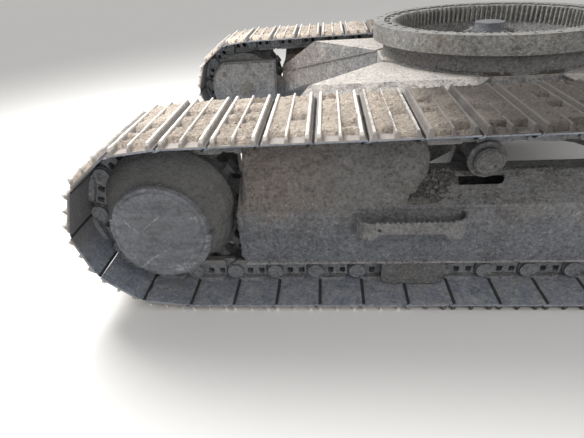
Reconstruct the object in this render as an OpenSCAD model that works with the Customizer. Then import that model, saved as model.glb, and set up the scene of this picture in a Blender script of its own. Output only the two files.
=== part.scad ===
// Crawler undercarriage of a 20-tonne class excavator: two tracked side frames,
// an X-shaped car body and the slewing ring that carries the upper structure.
// Millimetres. X runs from the drive end to the idler end, Y across, Z up.
// The origin is on the ground under the slewing axis, midway along the tracks.

/* [Track chain] */
// Distance from pin to pin
pitch = 190; // [180:1:200]
// Links and shoes in one loop
links = 45; // [43:1:47]
// Width of a shoe across the track
shoe_w = 550; // [450:10:700]
// Thickness of a shoe's plate
shoe_t = 10; // [8:1:14]
// Height of a grouser above the plate
grouser_h = 26; // [15:1:32]
// Width of a grouser's tip
grouser_tip = 10; // [6:1:14]
// Width of a grouser at its foot
grouser_foot = 22; // [18:1:28]
// Distance between neighbouring grousers of one shoe
grouser_step = 74; // [64:1:76]
// Height from pin centre to the seat of the shoe
seat_h = 45; // [42:1:54]
// Height from pin centre to the rail that runs on the rollers
rail_h = 56; // [50:1:62]
// Thickness of one rail
rail_t = 36; // [28:1:42]
// Clear width between the two rails
rail_gap = 88; // [80:1:100]
// How far the first pin lies past the start of the sprocket's wrap, in pitches
chain_phase = 0.66; // [0:0.02:0.98]

/* [Drive end] */
// Teeth of the sprocket, two for each link that it passes
teeth = 21; // [19:2:23]
// How much higher the chain runs under the sprocket than under the rollers
sprocket_lift = 2; // [0:1:30]
// Thickness of the sprocket
sprocket_t = 66; // [50:1:72]
// Radius of a root between two sprocket teeth, a little over that of a bush
root_r = 30; // [26:1:34]
// How far the teeth stand out past the pin circle
tooth_h = 20; // [12:1:26]
// Radius of the final drive's cover
cover_r = 206; // [180:1:215]
// Length of the final drive's cover
cover_len = 135; // [100:5:160]
// How far the cover's face lies inside the shoes' edge
cover_in = 30; // [0:1:60]
// Width of the bevel round the cover's face
cover_bevel = 22; // [5:1:35]
// Radius of the final drive's gear housing
housing_r = 240; // [225:1:250]
// Radius of the drive bracket's round end
bracket_r = 268; // [250:1:280]
// Thickness of the drive bracket's plate
bracket_t = 38; // [25:1:45]
// Depth of the cover over the travel motor
motor_cover_t = 88; // [60:1:110]
// Radius of the motor cover's round end
motor_cover_r = 262; // [240:1:275]
// Height of the motor cover between its flat top and bottom
motor_cover_h = 430; // [380:5:460]
// Distance from the sprocket's axle to the motor cover's flat end
motor_cover_end = 278; // [255:1:300]
// Height of the dome on the motor cover
motor_dome_t = 14; // [6:1:20]

/* [Idler end] */
// How much higher the chain runs under the idler than under the rollers
idler_lift = 6; // [0:1:20]
// Radius of the idler's rail treads
idler_r = 249; // [242:1:254]
// Height of the idler's centre flange
idler_flange = 20; // [12:1:24]
// Radius of the idler's shaft
idler_shaft_r = 36; // [28:1:45]
// Height of the yoke's arms
yoke_h = 96; // [85:1:120]
// Clear space over and under the yoke in the frame's fork
fork_gap = 26; // [15:1:40]
// Length of the taper from the frame's box to the fork
fork_taper = 120; // [80:5:200]
// Distance from the idler's axle back to the end of the fork's lower taper
fork_back = 160; // [120:5:200]
// Radius of the recoil spring's housing
recoil_r = 88; // [70:1:90]
// Length of the recoil spring's housing
recoil_len = 620; // [400:10:700]

/* [Rollers] */
// Bottom rollers on each side
rollers = 7; // [6:1:8]
// Radius of a bottom roller's tread
roller_r = 78; // [70:1:84]
// Height of a bottom roller's flange
roller_flange = 17; // [10:1:20]
// Distance from the end axles to the first and last bottom roller
roller_end = 432; // [410:1:470]
// Radius of a carrier roller's tread
carrier_r = 60; // [50:1:68]
// How much higher the chain runs over the carrier rollers than over the sprocket
carrier_rise = 14; // [5:1:50]
// Distances of the carrier rollers from the sprocket's axle
carrier_x = [1313, 2290];
// Radius of a carrier roller's end cap
cap_r = 54; // [40:1:55]

/* [Side frame] */
// Distance between the two tracks' middles
gauge = 2200; // [2000:10:2400]
// Width of a side frame
frame_w = 320; // [310:2:360]
// Width of a side frame's flat roof
roof_w = 90; // [60:2:130]
// Height of the side plates' lower edge
skirt_z = 172; // [165:1:195]
// Height of the crease between side plate and shoulder
crease_z = 460; // [445:1:480]
// Height of the flat roof
roof_z = 552; // [530:1:556]
// Thickness of the frame's plates
plate_t = 14; // [10:1:18]
// Distance from the sprocket's axle to the frame's rear end
frame_start = 322; // [300:1:340]
// Width of the ledges that the bottom rollers bolt to
ledge_w = 62; // [50:1:70]
// Height of the ledges' lower face
ledge_z = 320; // [316:1:330]
// Length of the clean-out slots in the shoulders
slot_len = 210; // [180:5:260]
// Height of the clean-out slots
slot_h = 44; // [30:1:50]
// Distance from the roof's edge down to a clean-out slot
slot_down = 16; // [8:1:30]
// How far a clean-out slot lies behind its carrier roller
slot_back = 13; // [0:1:40]
// Distance from the idler's axle back to the hand hole of the grease valve
hand_hole_x = 640; // [600:10:700]
// Length of the hand hole
hand_hole_len = 150; // [100:5:180]
// Height of the hand hole
hand_hole_h = 90; // [60:2:110]

/* [Steps and guards] */
// Distance of the two steps from the middle of the frame
step_x = 614; // [560:2:700]
// Length of a step
step_len = 440; // [360:10:480]
// How far a step stands out from the side plate
step_out = 80; // [50:1:90]
// Height of a step's lower edge
step_z = 349; // [330:1:360]
// Height of a step's plate
step_h = 84; // [70:1:100]
// Height of the arch in a step's lower edge
step_arch = 26; // [10:1:35]
// Radius of the bends at a step's ends
step_bend = 60; // [35:1:75]
// Thickness of a step's plate
step_t = 9; // [6:1:12]
// Pitch of the teeth along a step
step_pitch = 20; // [16:1:24]
// Distance of the track guards from the middle of the frame
guard_x = 579; // [540:1:700]
// Length of a track guard
guard_len = 270; // [240:5:360]
// Thickness of a track guard
guard_t = 14; // [10:1:18]
// Height of the track guards' lower edge
guard_z = 46; // [44:1:100]

/* [Car body] */
// Half width of the centre box
core_r = 620; // [600:5:650]
// Half length of the centre box's straight sides
core_side = 160; // [120:5:240]
// Height of the centre box's bottom
core_z = 470; // [440:1:490]
// Height of the centre box's top
core_top = 790; // [770:1:810]
// Thickness of the centre box's plates
core_t = 18; // [14:1:24]
// Radius of the hole in the top of the centre box
well_r = 430; // [400:5:450]
// Radius of the access hole in the bottom of the centre box
access_r = 190; // [180:5:240]
// Where the legs start on the side frame, from the slewing axis
leg_in = 760; // [700:10:800]
// Where the legs end on the side frame, from the slewing axis
leg_out = 1310; // [1200:10:1330]
// Height of a leg's top at the side frame
leg_top = 510; // [480:1:540]
// Height of a leg's bottom at the side frame
leg_bottom = 340; // [290:1:380]
// Distance from the centre box to the knee of a leg's underside
leg_knee = 60; // [30:1:120]
// Height of the ring that carries the slewing ring
pedestal_h = 90; // [70:1:110]
// Width of the ring that carries the slewing ring
pedestal_t = 55; // [40:1:60]

/* [Slewing ring] */
// Radius where the two races meet
race_r = 598; // [540:1:605]
// Width of the outer race
outer_race_w = 62; // [50:1:75]
// Width of the inner race down to the tips of its gear
inner_race_w = 67; // [50:1:80]
// Height of the slewing ring
ring_h = 100; // [80:1:120]
// Clearance between the two races
race_gap = 0.5; // [0.3:0.1:1]
// Module of the internal gear
gear_module = 10; // [8:1:12]
// Bolt holes through the outer race
ring_bolts = 36; // [24:2:48]
// Distance from the races' joint out to the bolt circle
bolt_inset = 34; // [28:1:40]
// Radius of a bolt hole
bolt_hole_r = 11; // [9:0.5:13]

/* [Centre joint] */
// Radius of the centre joint's housing
swivel_r = 96; // [80:1:110]
// Height of the centre joint's housing
swivel_h = 310; // [280:5:360]
// Radius of the centre joint's rotor
rotor_r = 80; // [65:1:90]
// Height of the centre joint's rotor
rotor_h = 150; // [110:5:170]

/* [Hidden] */
SIDES = ["left", "right"];
LEGS = ["front_left", "front_right", "rear_left", "rear_right"];
$fn = 96;

iron = "#6b6a68";
painted = "#5d5b59";
dusty = "#7c6f62";

// Heights of the chain's pins over the ground and of the rollers over the pins
ground_to_pin = grouser_h + shoe_t + seat_h;
roller_z = ground_to_pin + rail_h + roller_r;
// Pin circle of the sprocket: each link takes two of its teeth
pin_circle_r = pitch / 2 / sin(360 / teeth);
sprocket_z = ground_to_pin + sprocket_lift + pin_circle_r;
// Between the rails and the treads that they run on
turn_gap = 0.3;
// The idler's rails rest on it midway between the pins
idler_path = sqrt(pow(idler_r + rail_h + turn_gap, 2) + pow(pitch / 2, 2));
idler_z = ground_to_pin + idler_lift + idler_path;
carrier_z = sprocket_z + pin_circle_r + carrier_rise - carrier_r - rail_h - turn_gap;
// Half of a link that lies flat on the end rollers before the chain bends
flat_over = pitch * 0.55;
rail_mid = (rail_gap + rail_t) / 2;
rail_out = rail_gap / 2 + rail_t;

// The chain is a belt round six wheels, each [x, z, radius of the pins' path]
function over(r) = r + rail_h + turn_gap;
function wheels(axles) = [
    [0, sprocket_z, pin_circle_r],
    [carrier_x[0] - flat_over, carrier_z, over(carrier_r)],
    [carrier_x[1] + flat_over, carrier_z, over(carrier_r)],
    [axles, idler_z, idler_path],
    [axles - roller_end + flat_over, roller_z, over(roller_r)],
    [roller_end - flat_over, roller_z, over(roller_r)]];
function wheel(w, i) = w[(i + len(w)) % len(w)];
function flat(p) = [p[0], p[1]];
function span(w, i) = flat(wheel(w, i + 1)) - flat(wheel(w, i));
function shrink(w, i) = wheel(w, i)[2] - wheel(w, i + 1)[2];
// Direction of the belt's outward side between wheel i and the next
function side_angle(w, i) = atan2(span(w, i)[1], span(w, i)[0]) + acos(shrink(w, i) / norm(span(w, i)));
function run_len(w, i) = sqrt(pow(norm(span(w, i)), 2) - pow(shrink(w, i), 2));
function sweep(w, i) = (side_angle(w, i - 1) - side_angle(w, i) + 720) % 360;
// Links stretch as chords over a wheel: degrees that one of them takes there
function link_angle(r) = 2 * asin(pitch / 2 / r);
function wrap_len(w, i) = pitch * sweep(w, i) / link_angle(wheel(w, i)[2]);
function belt_len(w, i = 0) = i == len(w) ? 0 : wrap_len(w, i) + run_len(w, i) + belt_len(w, i + 1);
// The grease cylinder pushes the idler out until the belt takes exactly its links
function tension(axles, tries) = tries == 0 ? axles
    : tension(axles + (links * pitch - belt_len(wheels(axles))) / 2, tries - 1);
axle_gap = tension((links * pitch - 2 * PI * pin_circle_r) / 2, 8);
belt = wheels(axle_gap);
function out(a) = [cos(a), sin(a)];
function on_wheel(i, s) = flat(belt[i])
    + belt[i][2] * out(side_angle(belt, i - 1) - s / pitch * link_angle(belt[i][2]));
function on_run(i, s) = flat(belt[i]) + belt[i][2] * out(side_angle(belt, i))
    + s * out(side_angle(belt, i) - 90);
function along(s, i = 0) = s <= wrap_len(belt, i) ? on_wheel(i, s)
    : s <= wrap_len(belt, i) + run_len(belt, i) ? on_run(i, s - wrap_len(belt, i))
    : along(s - wrap_len(belt, i) - run_len(belt, i), i + 1);
pins = [for (i = [0:links - 1]) along((i + chain_phase) * pitch)];
function pin(i) = pins[(i + links) % links];
function heading(i) = (pin(i + 1) - pin(i)) / norm(pin(i + 1) - pin(i));
function outward(i) = [-heading(i)[1], heading(i)[0]];
function on_shoe(i, u, v) = (pin(i) + pin(i + 1)) / 2 + heading(i) * u + outward(i) * v;
// Where the faces of two neighbouring links meet, v outwards from the pins
function corner(i, v) = pin(i)
    + v * (outward(i - 1) + outward(i)) / (1 + outward(i - 1) * outward(i));
function ring_at(v) = [for (i = [0:links - 1]) corner(i, v)];
plate_v = seat_h + shoe_t;
tip_v = plate_v + grouser_h;
function grouser(i, u) = [on_shoe(i, u - grouser_foot / 2, plate_v), on_shoe(i, u - grouser_tip / 2, tip_v),
    on_shoe(i, u + grouser_tip / 2, tip_v), on_shoe(i, u + grouser_foot / 2, plate_v)];
function shoe_outline(i) = concat([corner(i, plate_v)], grouser(i, -grouser_step), grouser(i, 0),
    grouser(i, grouser_step));
tread = [for (i = [0:links - 1]) each shoe_outline(i)];
tread_x = [for (p = tread) p[0]];
// Where the sprocket's axle stands, with the track's length centred on the origin
drive_x = -(min(tread_x) + max(tread_x)) / 2;
track_top = max([for (p = tread) p[1]]);

shoe_edge = shoe_w / 2;
frame_y = frame_w / 2;
frame_in = frame_y - plate_t;
slope = (roof_z - crease_z) / (frame_y - roof_w / 2);
frame_end = axle_gap + idler_shaft_r + 24;
sprocket_end = pin_circle_r + tooth_h + 14;
box_end = axle_gap - idler_r - idler_flange - 140;
bracket_in = frame_y;
bracket_out = frame_y - bracket_t;
block_y = frame_in - 2;
arm_t = block_y - rail_out - 12;
guard_y = block_y - 2 - guard_t;
ring_z = core_top + pedestal_h;
ring_r = race_r + outer_race_w;
bolt_circle_r = race_r + bolt_inset;
// The gear takes the most teeth that leave the inner race its width
gear_teeth = floor(2 * (race_r - inner_race_w) / gear_module + 1.8);
pin_phase = atan2(pin(1)[1] - sprocket_z, pin(1)[0]);

// A box's outline with round corners, about the origin
function round_corner(x, y, r, from) = [for (k = [0:6]) [x + r * cos(from + 15 * k), y + r * sin(from + 15 * k)]];
function round_box(w, h, r) = concat(round_corner(w / 2 - r, h / 2 - r, r, 0),
    round_corner(r - w / 2, h / 2 - r, r, 90), round_corner(r - w / 2, r - h / 2, r, 180),
    round_corner(w / 2 - r, r - h / 2, r, 270));

// Puts a piece drawn for the right-hand track, outward side towards -Y, on its side
module on_side(side) {
    mirror([0, side == "left" ? 1 : 0, 0])
        translate([drive_x, -gauge / 2, 0])
            children();
}

// An outline in X and Z, made w wide about the chain's middle
module across(w) {
    rotate([90, 0, 0])
        linear_extrude(height = w, center = true)
            children();
}

// A profile of [radius, y] points, turned about an axle at x, z
module turned(x, z, points) {
    translate([x, 0, z])
        rotate([-90, 0, 0])
            rotate_extrude()
                polygon(points);
}

// A section in Y and Z, run along X from x0 to x1
module section_run(x0, x1) {
    translate([x0, 0, 0])
        rotate([90, 0, 90])
            linear_extrude(height = x1 - x0)
                children();
}

// The loop of shoes with both rails of the chain under it
module track(side) {
    color(dusty)
        on_side(side) {
            across(shoe_w)
                difference() {
                    polygon(tread);
                    polygon(ring_at(seat_h));
                }
            for (s = [-1, 1])
                translate([0, s * rail_mid, 0])
                    across(rail_t)
                        difference() {
                            polygon(ring_at(seat_h + shoe_t / 2));
                            polygon(ring_at(-rail_h));
                        }
        }
}

// Toothed ring bolted to the final drive's housing
module sprocket(side) {
    color(iron)
        on_side(side)
            translate([0, 0, sprocket_z])
                across(sprocket_t)
                    difference() {
                        circle(r = pin_circle_r + tooth_h, $fn = 180);
                        circle(r = hub_r + turn_gap);
                        for (i = [0:teeth - 1])
                            rotate(pin_phase + i * 360 / teeth)
                                translate([pin_circle_r, 0])
                                    circle(r = root_r, $fn = 48);
                    }
}

hub_r = 172;
face_y = -shoe_edge + cover_in;
flange_y = -sprocket_t / 2 - turn_gap;
// Round housing with the wheel gears, the cover on its outer end and the hub in the sprocket
module final_drive(side) {
    step_y = face_y + cover_len;
    color(iron)
        on_side(side)
            turned(0, sprocket_z, [[0, face_y], [cover_r - cover_bevel, face_y],
                [cover_r - cover_bevel * 0.3, face_y + cover_bevel * 0.3], [cover_r, face_y + cover_bevel],
                [cover_r, step_y], [housing_r - 12, step_y], [housing_r, step_y + 12], [housing_r, flange_y],
                [hub_r, flange_y], [hub_r, sprocket_t / 2 + 6], [hub_r + 26, sprocket_t / 2 + 6],
                [hub_r + 26, bracket_out - turn_gap], [0, bracket_out - turn_gap]]);
}

// Plate with a round end that carries the final drive behind the frame
module drive_bracket(side) {
    color(painted)
        on_side(side)
            translate([0, bracket_in - bracket_t / 2, 0])
                across(bracket_t)
                    difference() {
                        union() {
                            translate([0, sprocket_z])
                                circle(r = bracket_r);
                            polygon([[0, sprocket_z - bracket_r], [frame_start, skirt_z],
                                [frame_start, crease_z], [0, sprocket_z + bracket_r]]);
                        }
                        translate([0, sprocket_z])
                            circle(r = hub_r - 40);
                    }
}

// Domed guard over the travel motor, with a flat end against the leg
module motor_cover_outline(inset) {
    translate([0, sprocket_z])
        intersection() {
            union() {
                circle(r = motor_cover_r - inset);
                translate([0, -motor_cover_h / 2])
                    square([motor_cover_end - inset, motor_cover_h]);
            }
            translate([-motor_cover_r, inset - motor_cover_h / 2])
                square([motor_cover_r + motor_cover_end - inset, motor_cover_h - 2 * inset]);
        }
}

module motor_cover(side) {
    flank_t = motor_cover_t - motor_dome_t;
    color(painted)
        on_side(side) {
            translate([0, bracket_in + turn_gap + flank_t / 2, 0])
                across(flank_t)
                    motor_cover_outline(0);
            translate([0, bracket_in + turn_gap + flank_t + motor_dome_t / 2, 0])
                across(motor_dome_t)
                    motor_cover_outline(motor_dome_t);
        }
}

// Side frame: side plates, sloping shoulders and flat roof, open below for the rollers
module frame_section() {
    polygon([[-frame_y, skirt_z], [-frame_y, crease_z], [-roof_w / 2, roof_z], [roof_w / 2, roof_z],
        [frame_y, crease_z], [frame_y, skirt_z]]);
}

module frame_hollow() {
    drop = plate_t * sqrt(1 + slope * slope) - plate_t * slope;
    polygon([[-frame_in, skirt_z - 1], [-frame_in, crease_z - drop], [-roof_w / 2, roof_z - plate_t],
        [roof_w / 2, roof_z - plate_t], [frame_in, crease_z - drop], [frame_in, skirt_z - 1]]);
}

module side_frame(side) {
    color(painted)
        on_side(side)
            difference() {
                union() {
                    section_run(frame_start, box_end)
                        difference() {
                            frame_section();
                            frame_hollow();
                        }
                    section_run(sprocket_end, sprocket_end + plate_t)
                        difference() {
                            frame_section();
                            translate([-frame_in, skirt_z - 1])
                                square([2 * frame_in, ledge_z - skirt_z + 1]);
                        }
                    for (s = [-1, 1]) {
                        translate([sprocket_end, s > 0 ? frame_in - ledge_w : -frame_in, ledge_z])
                            cube([box_end - sprocket_end, ledge_w, plate_t]);
                        frame_fork(s);
                    }
                }
                translate([frame_start - 1, -sprocket_t / 2 - 12, skirt_z - 1])
                    cube([sprocket_end - frame_start + 1, sprocket_t + 24, roof_z]);
                for (x = carrier_x)
                    clean_out_slot(x - slot_back);
                hand_hole();
            }
}

// One side plate carried on past the box, beside the idler
module frame_fork(s) {
    fork_top = idler_z + yoke_h / 2 + fork_gap;
    fork_low = idler_z - yoke_h / 2 - fork_gap;
    translate([0, s * (frame_y - plate_t / 2), 0])
        across(plate_t)
            polygon([[box_end - 1, skirt_z], [box_end + fork_taper, skirt_z], [axle_gap - fork_back, fork_low],
                [frame_end - fork_gap, fork_low], [frame_end, fork_low + fork_gap],
                [frame_end, fork_top - fork_gap], [frame_end - fork_gap, fork_top],
                [box_end + fork_taper / 2, fork_top], [box_end - 1, crease_z]]);
}

// Slot in the outer shoulder, flat on top and round below
module clean_out_slot(x) {
    tilt = atan(slope);
    down = slot_down + slot_h / 2;
    translate([x, -roof_w / 2 - down * cos(tilt), roof_z - down * sin(tilt)])
        rotate([tilt, 0, 0])
            translate([0, 0, -plate_t * 2])
                linear_extrude(height = 4 * plate_t)
                    intersection() {
                        translate([0, slot_h * 0.25])
                            polygon(round_box(slot_len, slot_h * 1.5, slot_h * 0.7));
                        square([slot_len + 2, slot_h], center = true);
                    }
}

// Hand hole to the grease valve, in the outer side plate
module hand_hole() {
    translate([axle_gap - hand_hole_x, -frame_y, idler_z])
        across(4 * plate_t)
            polygon(round_box(hand_hole_len, hand_hole_h, hand_hole_h / 3));
}

// Carrier rollers: two treads, outer flanges and an end cap, one for each place in carrier_x
module carrier_rollers(side) {
    tread_y = rail_out + 6;
    color(iron)
        on_side(side)
            for (x = carrier_x)
                turned(x, carrier_z, [[0, -tread_y - 40], [cap_r - 6, -tread_y - 40], [cap_r, -tread_y - 34],
                    [cap_r, -tread_y - 14], [carrier_r + 14, -tread_y - 14], [carrier_r + 14, -tread_y],
                    [carrier_r, -tread_y], [carrier_r, -rail_gap / 2 + 4], [carrier_r - 10, -rail_gap / 2 + 14],
                    [carrier_r - 10, rail_gap / 2 - 14], [carrier_r, rail_gap / 2 - 4], [carrier_r, tread_y],
                    [carrier_r + 12, tread_y], [carrier_r + 12, tread_y + 10], [28, tread_y + 10],
                    [28, tread_y + 54], [0, tread_y + 54]]);
}

// Brackets that clamp the carrier rollers' shafts over the inner shoulder
module carrier_brackets(side) {
    clamp_y = rail_out + 18 + turn_gap;
    clamp_t = 40;
    foot_z = roof_z - slope * (clamp_y - roof_w / 2);
    color(painted)
        on_side(side)
            for (x = carrier_x)
                difference() {
                    translate([x, clamp_y + clamp_t / 2, 0])
                        across(clamp_t)
                            polygon([[-95, crease_z], [-50, carrier_z + 44], [-34, carrier_z + 56],
                                [34, carrier_z + 56], [50, carrier_z + 44], [95, crease_z]]);
                    translate([x, clamp_y + clamp_t / 2, carrier_z])
                        across(2 * clamp_t)
                            circle(r = 28 + turn_gap, $fn = 48);
                    section_run(0, axle_gap)
                        polygon([[0, 0], [0, roof_z + turn_gap], [roof_w / 2, roof_z + turn_gap],
                            [frame_y, crease_z + turn_gap], [frame_y, 0]]);
                }
}

// Bottom rollers with the collars that bolt them under the ledges
function roller_x(i) = roller_end + i * (axle_gap - 2 * roller_end) / (rollers - 1);
module bottom_rollers(side) {
    tread_y = rail_out + 4;
    flange_r = roller_r + roller_flange;
    collar_y = tread_y + 22;
    collar_t = guard_y - collar_y - turn_gap;
    color(iron)
        on_side(side)
            for (i = [0:rollers - 1]) {
                turned(roller_x(i), roller_z, [[0, -collar_y], [52, -collar_y], [52, -tread_y - 16],
                    [flange_r, -tread_y - 16], [flange_r, -tread_y], [roller_r, -tread_y],
                    [roller_r, -rail_gap / 2 + 4], [roller_r - 14, -rail_gap / 2 + 18],
                    [roller_r - 14, rail_gap / 2 - 18], [roller_r, rail_gap / 2 - 4], [roller_r, tread_y],
                    [flange_r, tread_y], [flange_r, tread_y + 16], [52, tread_y + 16], [52, collar_y],
                    [0, collar_y]]);
                for (s = [-1, 1])
                    translate([roller_x(i), s * (collar_y + collar_t / 2), 0])
                        across(collar_t)
                            polygon([[-48, ledge_z], [-48, roller_z], [-30, roller_z - 44], [30, roller_z - 44],
                                [48, roller_z], [48, ledge_z]]);
            }
}

// Idler wheel with its centre flange between the rails, and its shaft
module idler(side) {
    half = rail_out + 4;
    flange_half = rail_gap / 2 - 5;
    color(iron)
        on_side(side)
            turned(axle_gap, idler_z, [[0, -block_y + turn_gap], [idler_shaft_r, -block_y + turn_gap],
                [idler_shaft_r, -half], [92, -half], [108, -34], [idler_r - 46, -34], [idler_r - 30, -half],
                [idler_r, -half], [idler_r, -flange_half - 2], [idler_r + idler_flange, -flange_half + 6],
                [idler_r + idler_flange, flange_half - 6], [idler_r, flange_half + 2], [idler_r, half],
                [idler_r - 30, half], [idler_r - 46, 34], [108, 34], [92, half], [idler_shaft_r, half],
                [idler_shaft_r, block_y - turn_gap], [0, block_y - turn_gap]]);
}

// Yoke: two arms with the idler's bearing blocks, joined behind the wheel
module idler_yoke(side) {
    arm_y = rail_out + 12;
    back = axle_gap - idler_r - idler_flange - 36;
    color(painted)
        on_side(side)
            difference() {
                union() {
                    for (s = [-1, 1])
                        translate([0, s * (arm_y + arm_t / 2), 0])
                            across(arm_t)
                                polygon([[back - 60, idler_z - yoke_h / 2 + 14], [axle_gap - 90, idler_z - yoke_h / 2 + 14],
                                    [axle_gap - 70, idler_z - yoke_h / 2], [axle_gap + 56, idler_z - yoke_h / 2],
                                    [axle_gap + 56, idler_z + yoke_h / 2], [axle_gap - 70, idler_z + yoke_h / 2],
                                    [axle_gap - 90, idler_z + yoke_h / 2 - 14], [back - 60, idler_z + yoke_h / 2 - 14]]);
                    translate([back - 60, -arm_y - 1, idler_z - yoke_h / 2 + 14])
                        cube([60, 2 * arm_y + 2, yoke_h - 28]);
                }
                translate([axle_gap, 0, idler_z])
                    across(frame_w)
                        circle(r = idler_shaft_r + turn_gap);
            }
}

// Recoil spring in its housing, with the rod that pushes the yoke
module recoil_unit(side) {
    push = axle_gap - idler_r - idler_flange - 96 - turn_gap;
    color(iron)
        on_side(side)
            translate([push, 0, idler_z])
                rotate([0, -90, 0])
                    rotate_extrude()
                        polygon([[0, 0], [58, 0], [58, 18], [34, 18], [34, 150], [recoil_r, 150],
                            [recoil_r, 150 + recoil_len], [0, 150 + recoil_len]]);
}

// Plates that keep the chain under its rollers, outside and inside, two pairs a side
module track_guards(side) {
    color(painted)
        on_side(side)
            for (x = [axle_gap / 2 - guard_x, axle_gap / 2 + guard_x], s = [-1, 1])
                translate([x, s * (guard_y + guard_t / 2), 0])
                    across(guard_t)
                        polygon([[-guard_len / 2, ledge_z], [-guard_len / 2, guard_z + 40],
                            [-guard_len / 2 + 12, guard_z + 12], [-guard_len / 2 + 40, guard_z],
                            [guard_len / 2 - 40, guard_z], [guard_len / 2 - 12, guard_z + 12],
                            [guard_len / 2, guard_z + 40], [guard_len / 2, ledge_z]]);
}

// Steps: a plate bent out from the side frame, with a toothed upper edge and an arch below
module steps(side) {
    flat_len = step_len - 2 * step_bend;
    count = floor(flat_len / step_pitch);
    first = -count * step_pitch / 2;
    top = step_z + step_h;
    arch = step_len / 2 - step_bend - step_t;
    color(painted)
        on_side(side)
            for (x = [axle_gap / 2 - step_x, axle_gap / 2 + step_x])
                translate([x, -frame_y, 0])
                    intersection() {
                        linear_extrude(height = 2 * crease_z)
                            difference() {
                                polygon(round_box(step_len, 2 * step_out, step_bend));
                                polygon(round_box(step_len - 2 * step_t, 2 * step_out - 2 * step_t,
                                    step_bend - step_t));
                                translate([-step_len, 0])
                                    square([2 * step_len, step_out + 1]);
                            }
                        across(3 * step_out)
                            polygon(concat([[-step_len / 2, step_z], [-arch, step_z],
                                [step_arch - arch, step_z + step_arch], [arch - step_arch, step_z + step_arch],
                                [arch, step_z], [step_len / 2, step_z], [step_len / 2, top]],
                                [for (k = [0:count - 1], e = [0, 1])
                                    [-first - (k + e / 2) * step_pitch, top - 7 * e]],
                                [[-step_len / 2, top]]));
                    }
}

// Centre box, hollow
module core_outline(r) {
    s = core_side + (r - core_r) * 0.4142;
    polygon([[r, s], [s, r], [-s, r], [-r, s], [-r, -s], [-s, -r], [s, -r], [r, -s]]);
}

module car_body() {
    color(painted)
        difference() {
            translate([0, 0, core_z])
                linear_extrude(height = core_top - core_z)
                    core_outline(core_r);
            translate([0, 0, core_z + core_t])
                linear_extrude(height = core_top - core_z - 2 * core_t)
                    core_outline(core_r - core_t);
            translate([0, 0, core_top - 2 * core_t])
                cylinder(r = well_r, h = 3 * core_t);
            translate([0, 0, core_z - core_t])
                cylinder(r = access_r, h = 3 * core_t);
        }
}

// Ring on the centre box that the slewing ring stands on
module slew_pedestal() {
    color(painted)
        translate([0, 0, core_top])
            difference() {
                cylinder(r = race_r, h = pedestal_h, $fn = 180);
                translate([0, 0, -1])
                    cylinder(r = race_r - pedestal_t, h = pedestal_h + 2, $fn = 180);
            }
}

// Box-section leg from the centre box to a side frame, fitted over the frame's shoulder
module leg(place) {
    front = place == "front_left" || place == "front_right";
    left = place == "front_left" || place == "rear_left";
    wall = gauge / 2 - frame_y;
    lap = (leg_top - crease_z) / slope;
    // The front legs stop where the side frame's box does
    leg_end = front ? min(leg_out, drive_x + box_end) : leg_out;
    color(painted)
        mirror([front ? 0 : 1, 0, 0])
            mirror([0, left ? 0 : 1, 0])
                intersection() {
                    linear_extrude(height = core_top)
                        polygon([[core_r, core_side], [core_side, core_r], [leg_in, wall], [leg_in, wall + lap],
                            [leg_end, wall + lap], [leg_end, wall]]);
                    section_run(0, 2 * leg_out)
                        polygon([[core_side, core_z], [core_side, core_top], [core_r, core_top],
                            [wall + lap, leg_top], [wall, crease_z], [wall, leg_bottom],
                            [core_r + leg_knee, core_z]]);
                }
}

// Cover bolted under the access hole
module belly_cover() {
    color(painted)
        translate([0, 0, core_z - 12 - turn_gap])
            linear_extrude(height = 12)
                polygon(round_box(2 * access_r + 110, 2 * access_r + 110, 50));
}

// One space of the internal gear, seen from the middle
function gear_space(i) = let (a = 360 / gear_teeth, r = gear_module * gear_teeth / 2)
    [(r - 0.9 * gear_module) * out(a * (i - 0.36)), (r + 1.2 * gear_module) * out(a * (i - 0.14)),
    (r + 1.2 * gear_module) * out(a * (i + 0.14)), (r - 0.9 * gear_module) * out(a * (i + 0.36))];

// Inner race, bolted to the car body, with the gear that the swing pinion runs in
module slew_inner_race() {
    color(iron)
        translate([0, 0, ring_z])
            linear_extrude(height = ring_h - 8)
                difference() {
                    circle(r = race_r, $fn = 180);
                    polygon([for (i = [0:gear_teeth - 1]) each gear_space(i)]);
                }
}

// Outer race, which turns and carries the upper structure on its bolts
module slew_outer_race() {
    color(iron)
        translate([0, 0, ring_z + 10])
            difference() {
                cylinder(r = ring_r, h = ring_h - 10, $fn = 180);
                translate([0, 0, -1])
                    cylinder(r = race_r + race_gap, h = ring_h, $fn = 180);
                for (i = [0:ring_bolts - 1])
                    rotate(i * 360 / ring_bolts)
                        translate([bolt_circle_r, 0, -1])
                            cylinder(r = bolt_hole_r, h = ring_h, $fn = 24);
            }
}

// Centre joint: the housing stands on the centre box's floor and the rotor turns in it
module swivel_housing() {
    floor_z = core_z + core_t;
    color(iron)
        translate([0, 0, floor_z])
            difference() {
                union() {
                    cylinder(r = access_r + 40, h = 20);
                    cylinder(r = swivel_r, h = swivel_h);
                    for (i = [0:3])
                        translate([0, 0, 70 + 60 * i])
                            rotate([0, 90, 45 + 90 * i])
                                cylinder(r = 20, h = swivel_r + 34, $fn = 36);
                }
                translate([0, 0, swivel_h - 80])
                    cylinder(r = rotor_r * 0.6 + turn_gap, h = 100);
            }
}

module swivel_rotor() {
    color(iron)
        translate([0, 0, core_z + core_t + swivel_h]) {
            translate([0, 0, turn_gap])
                cylinder(r = rotor_r, h = rotor_h);
            translate([0, 0, -70])
                cylinder(r = rotor_r * 0.6, h = 80);
            for (i = [0:5])
                rotate(60 * i)
                    translate([0, 0, rotor_h * 0.62])
                        rotate([0, 90, 0])
                            cylinder(r = 17, h = rotor_r + 26, $fn = 36);
        }
}

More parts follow.
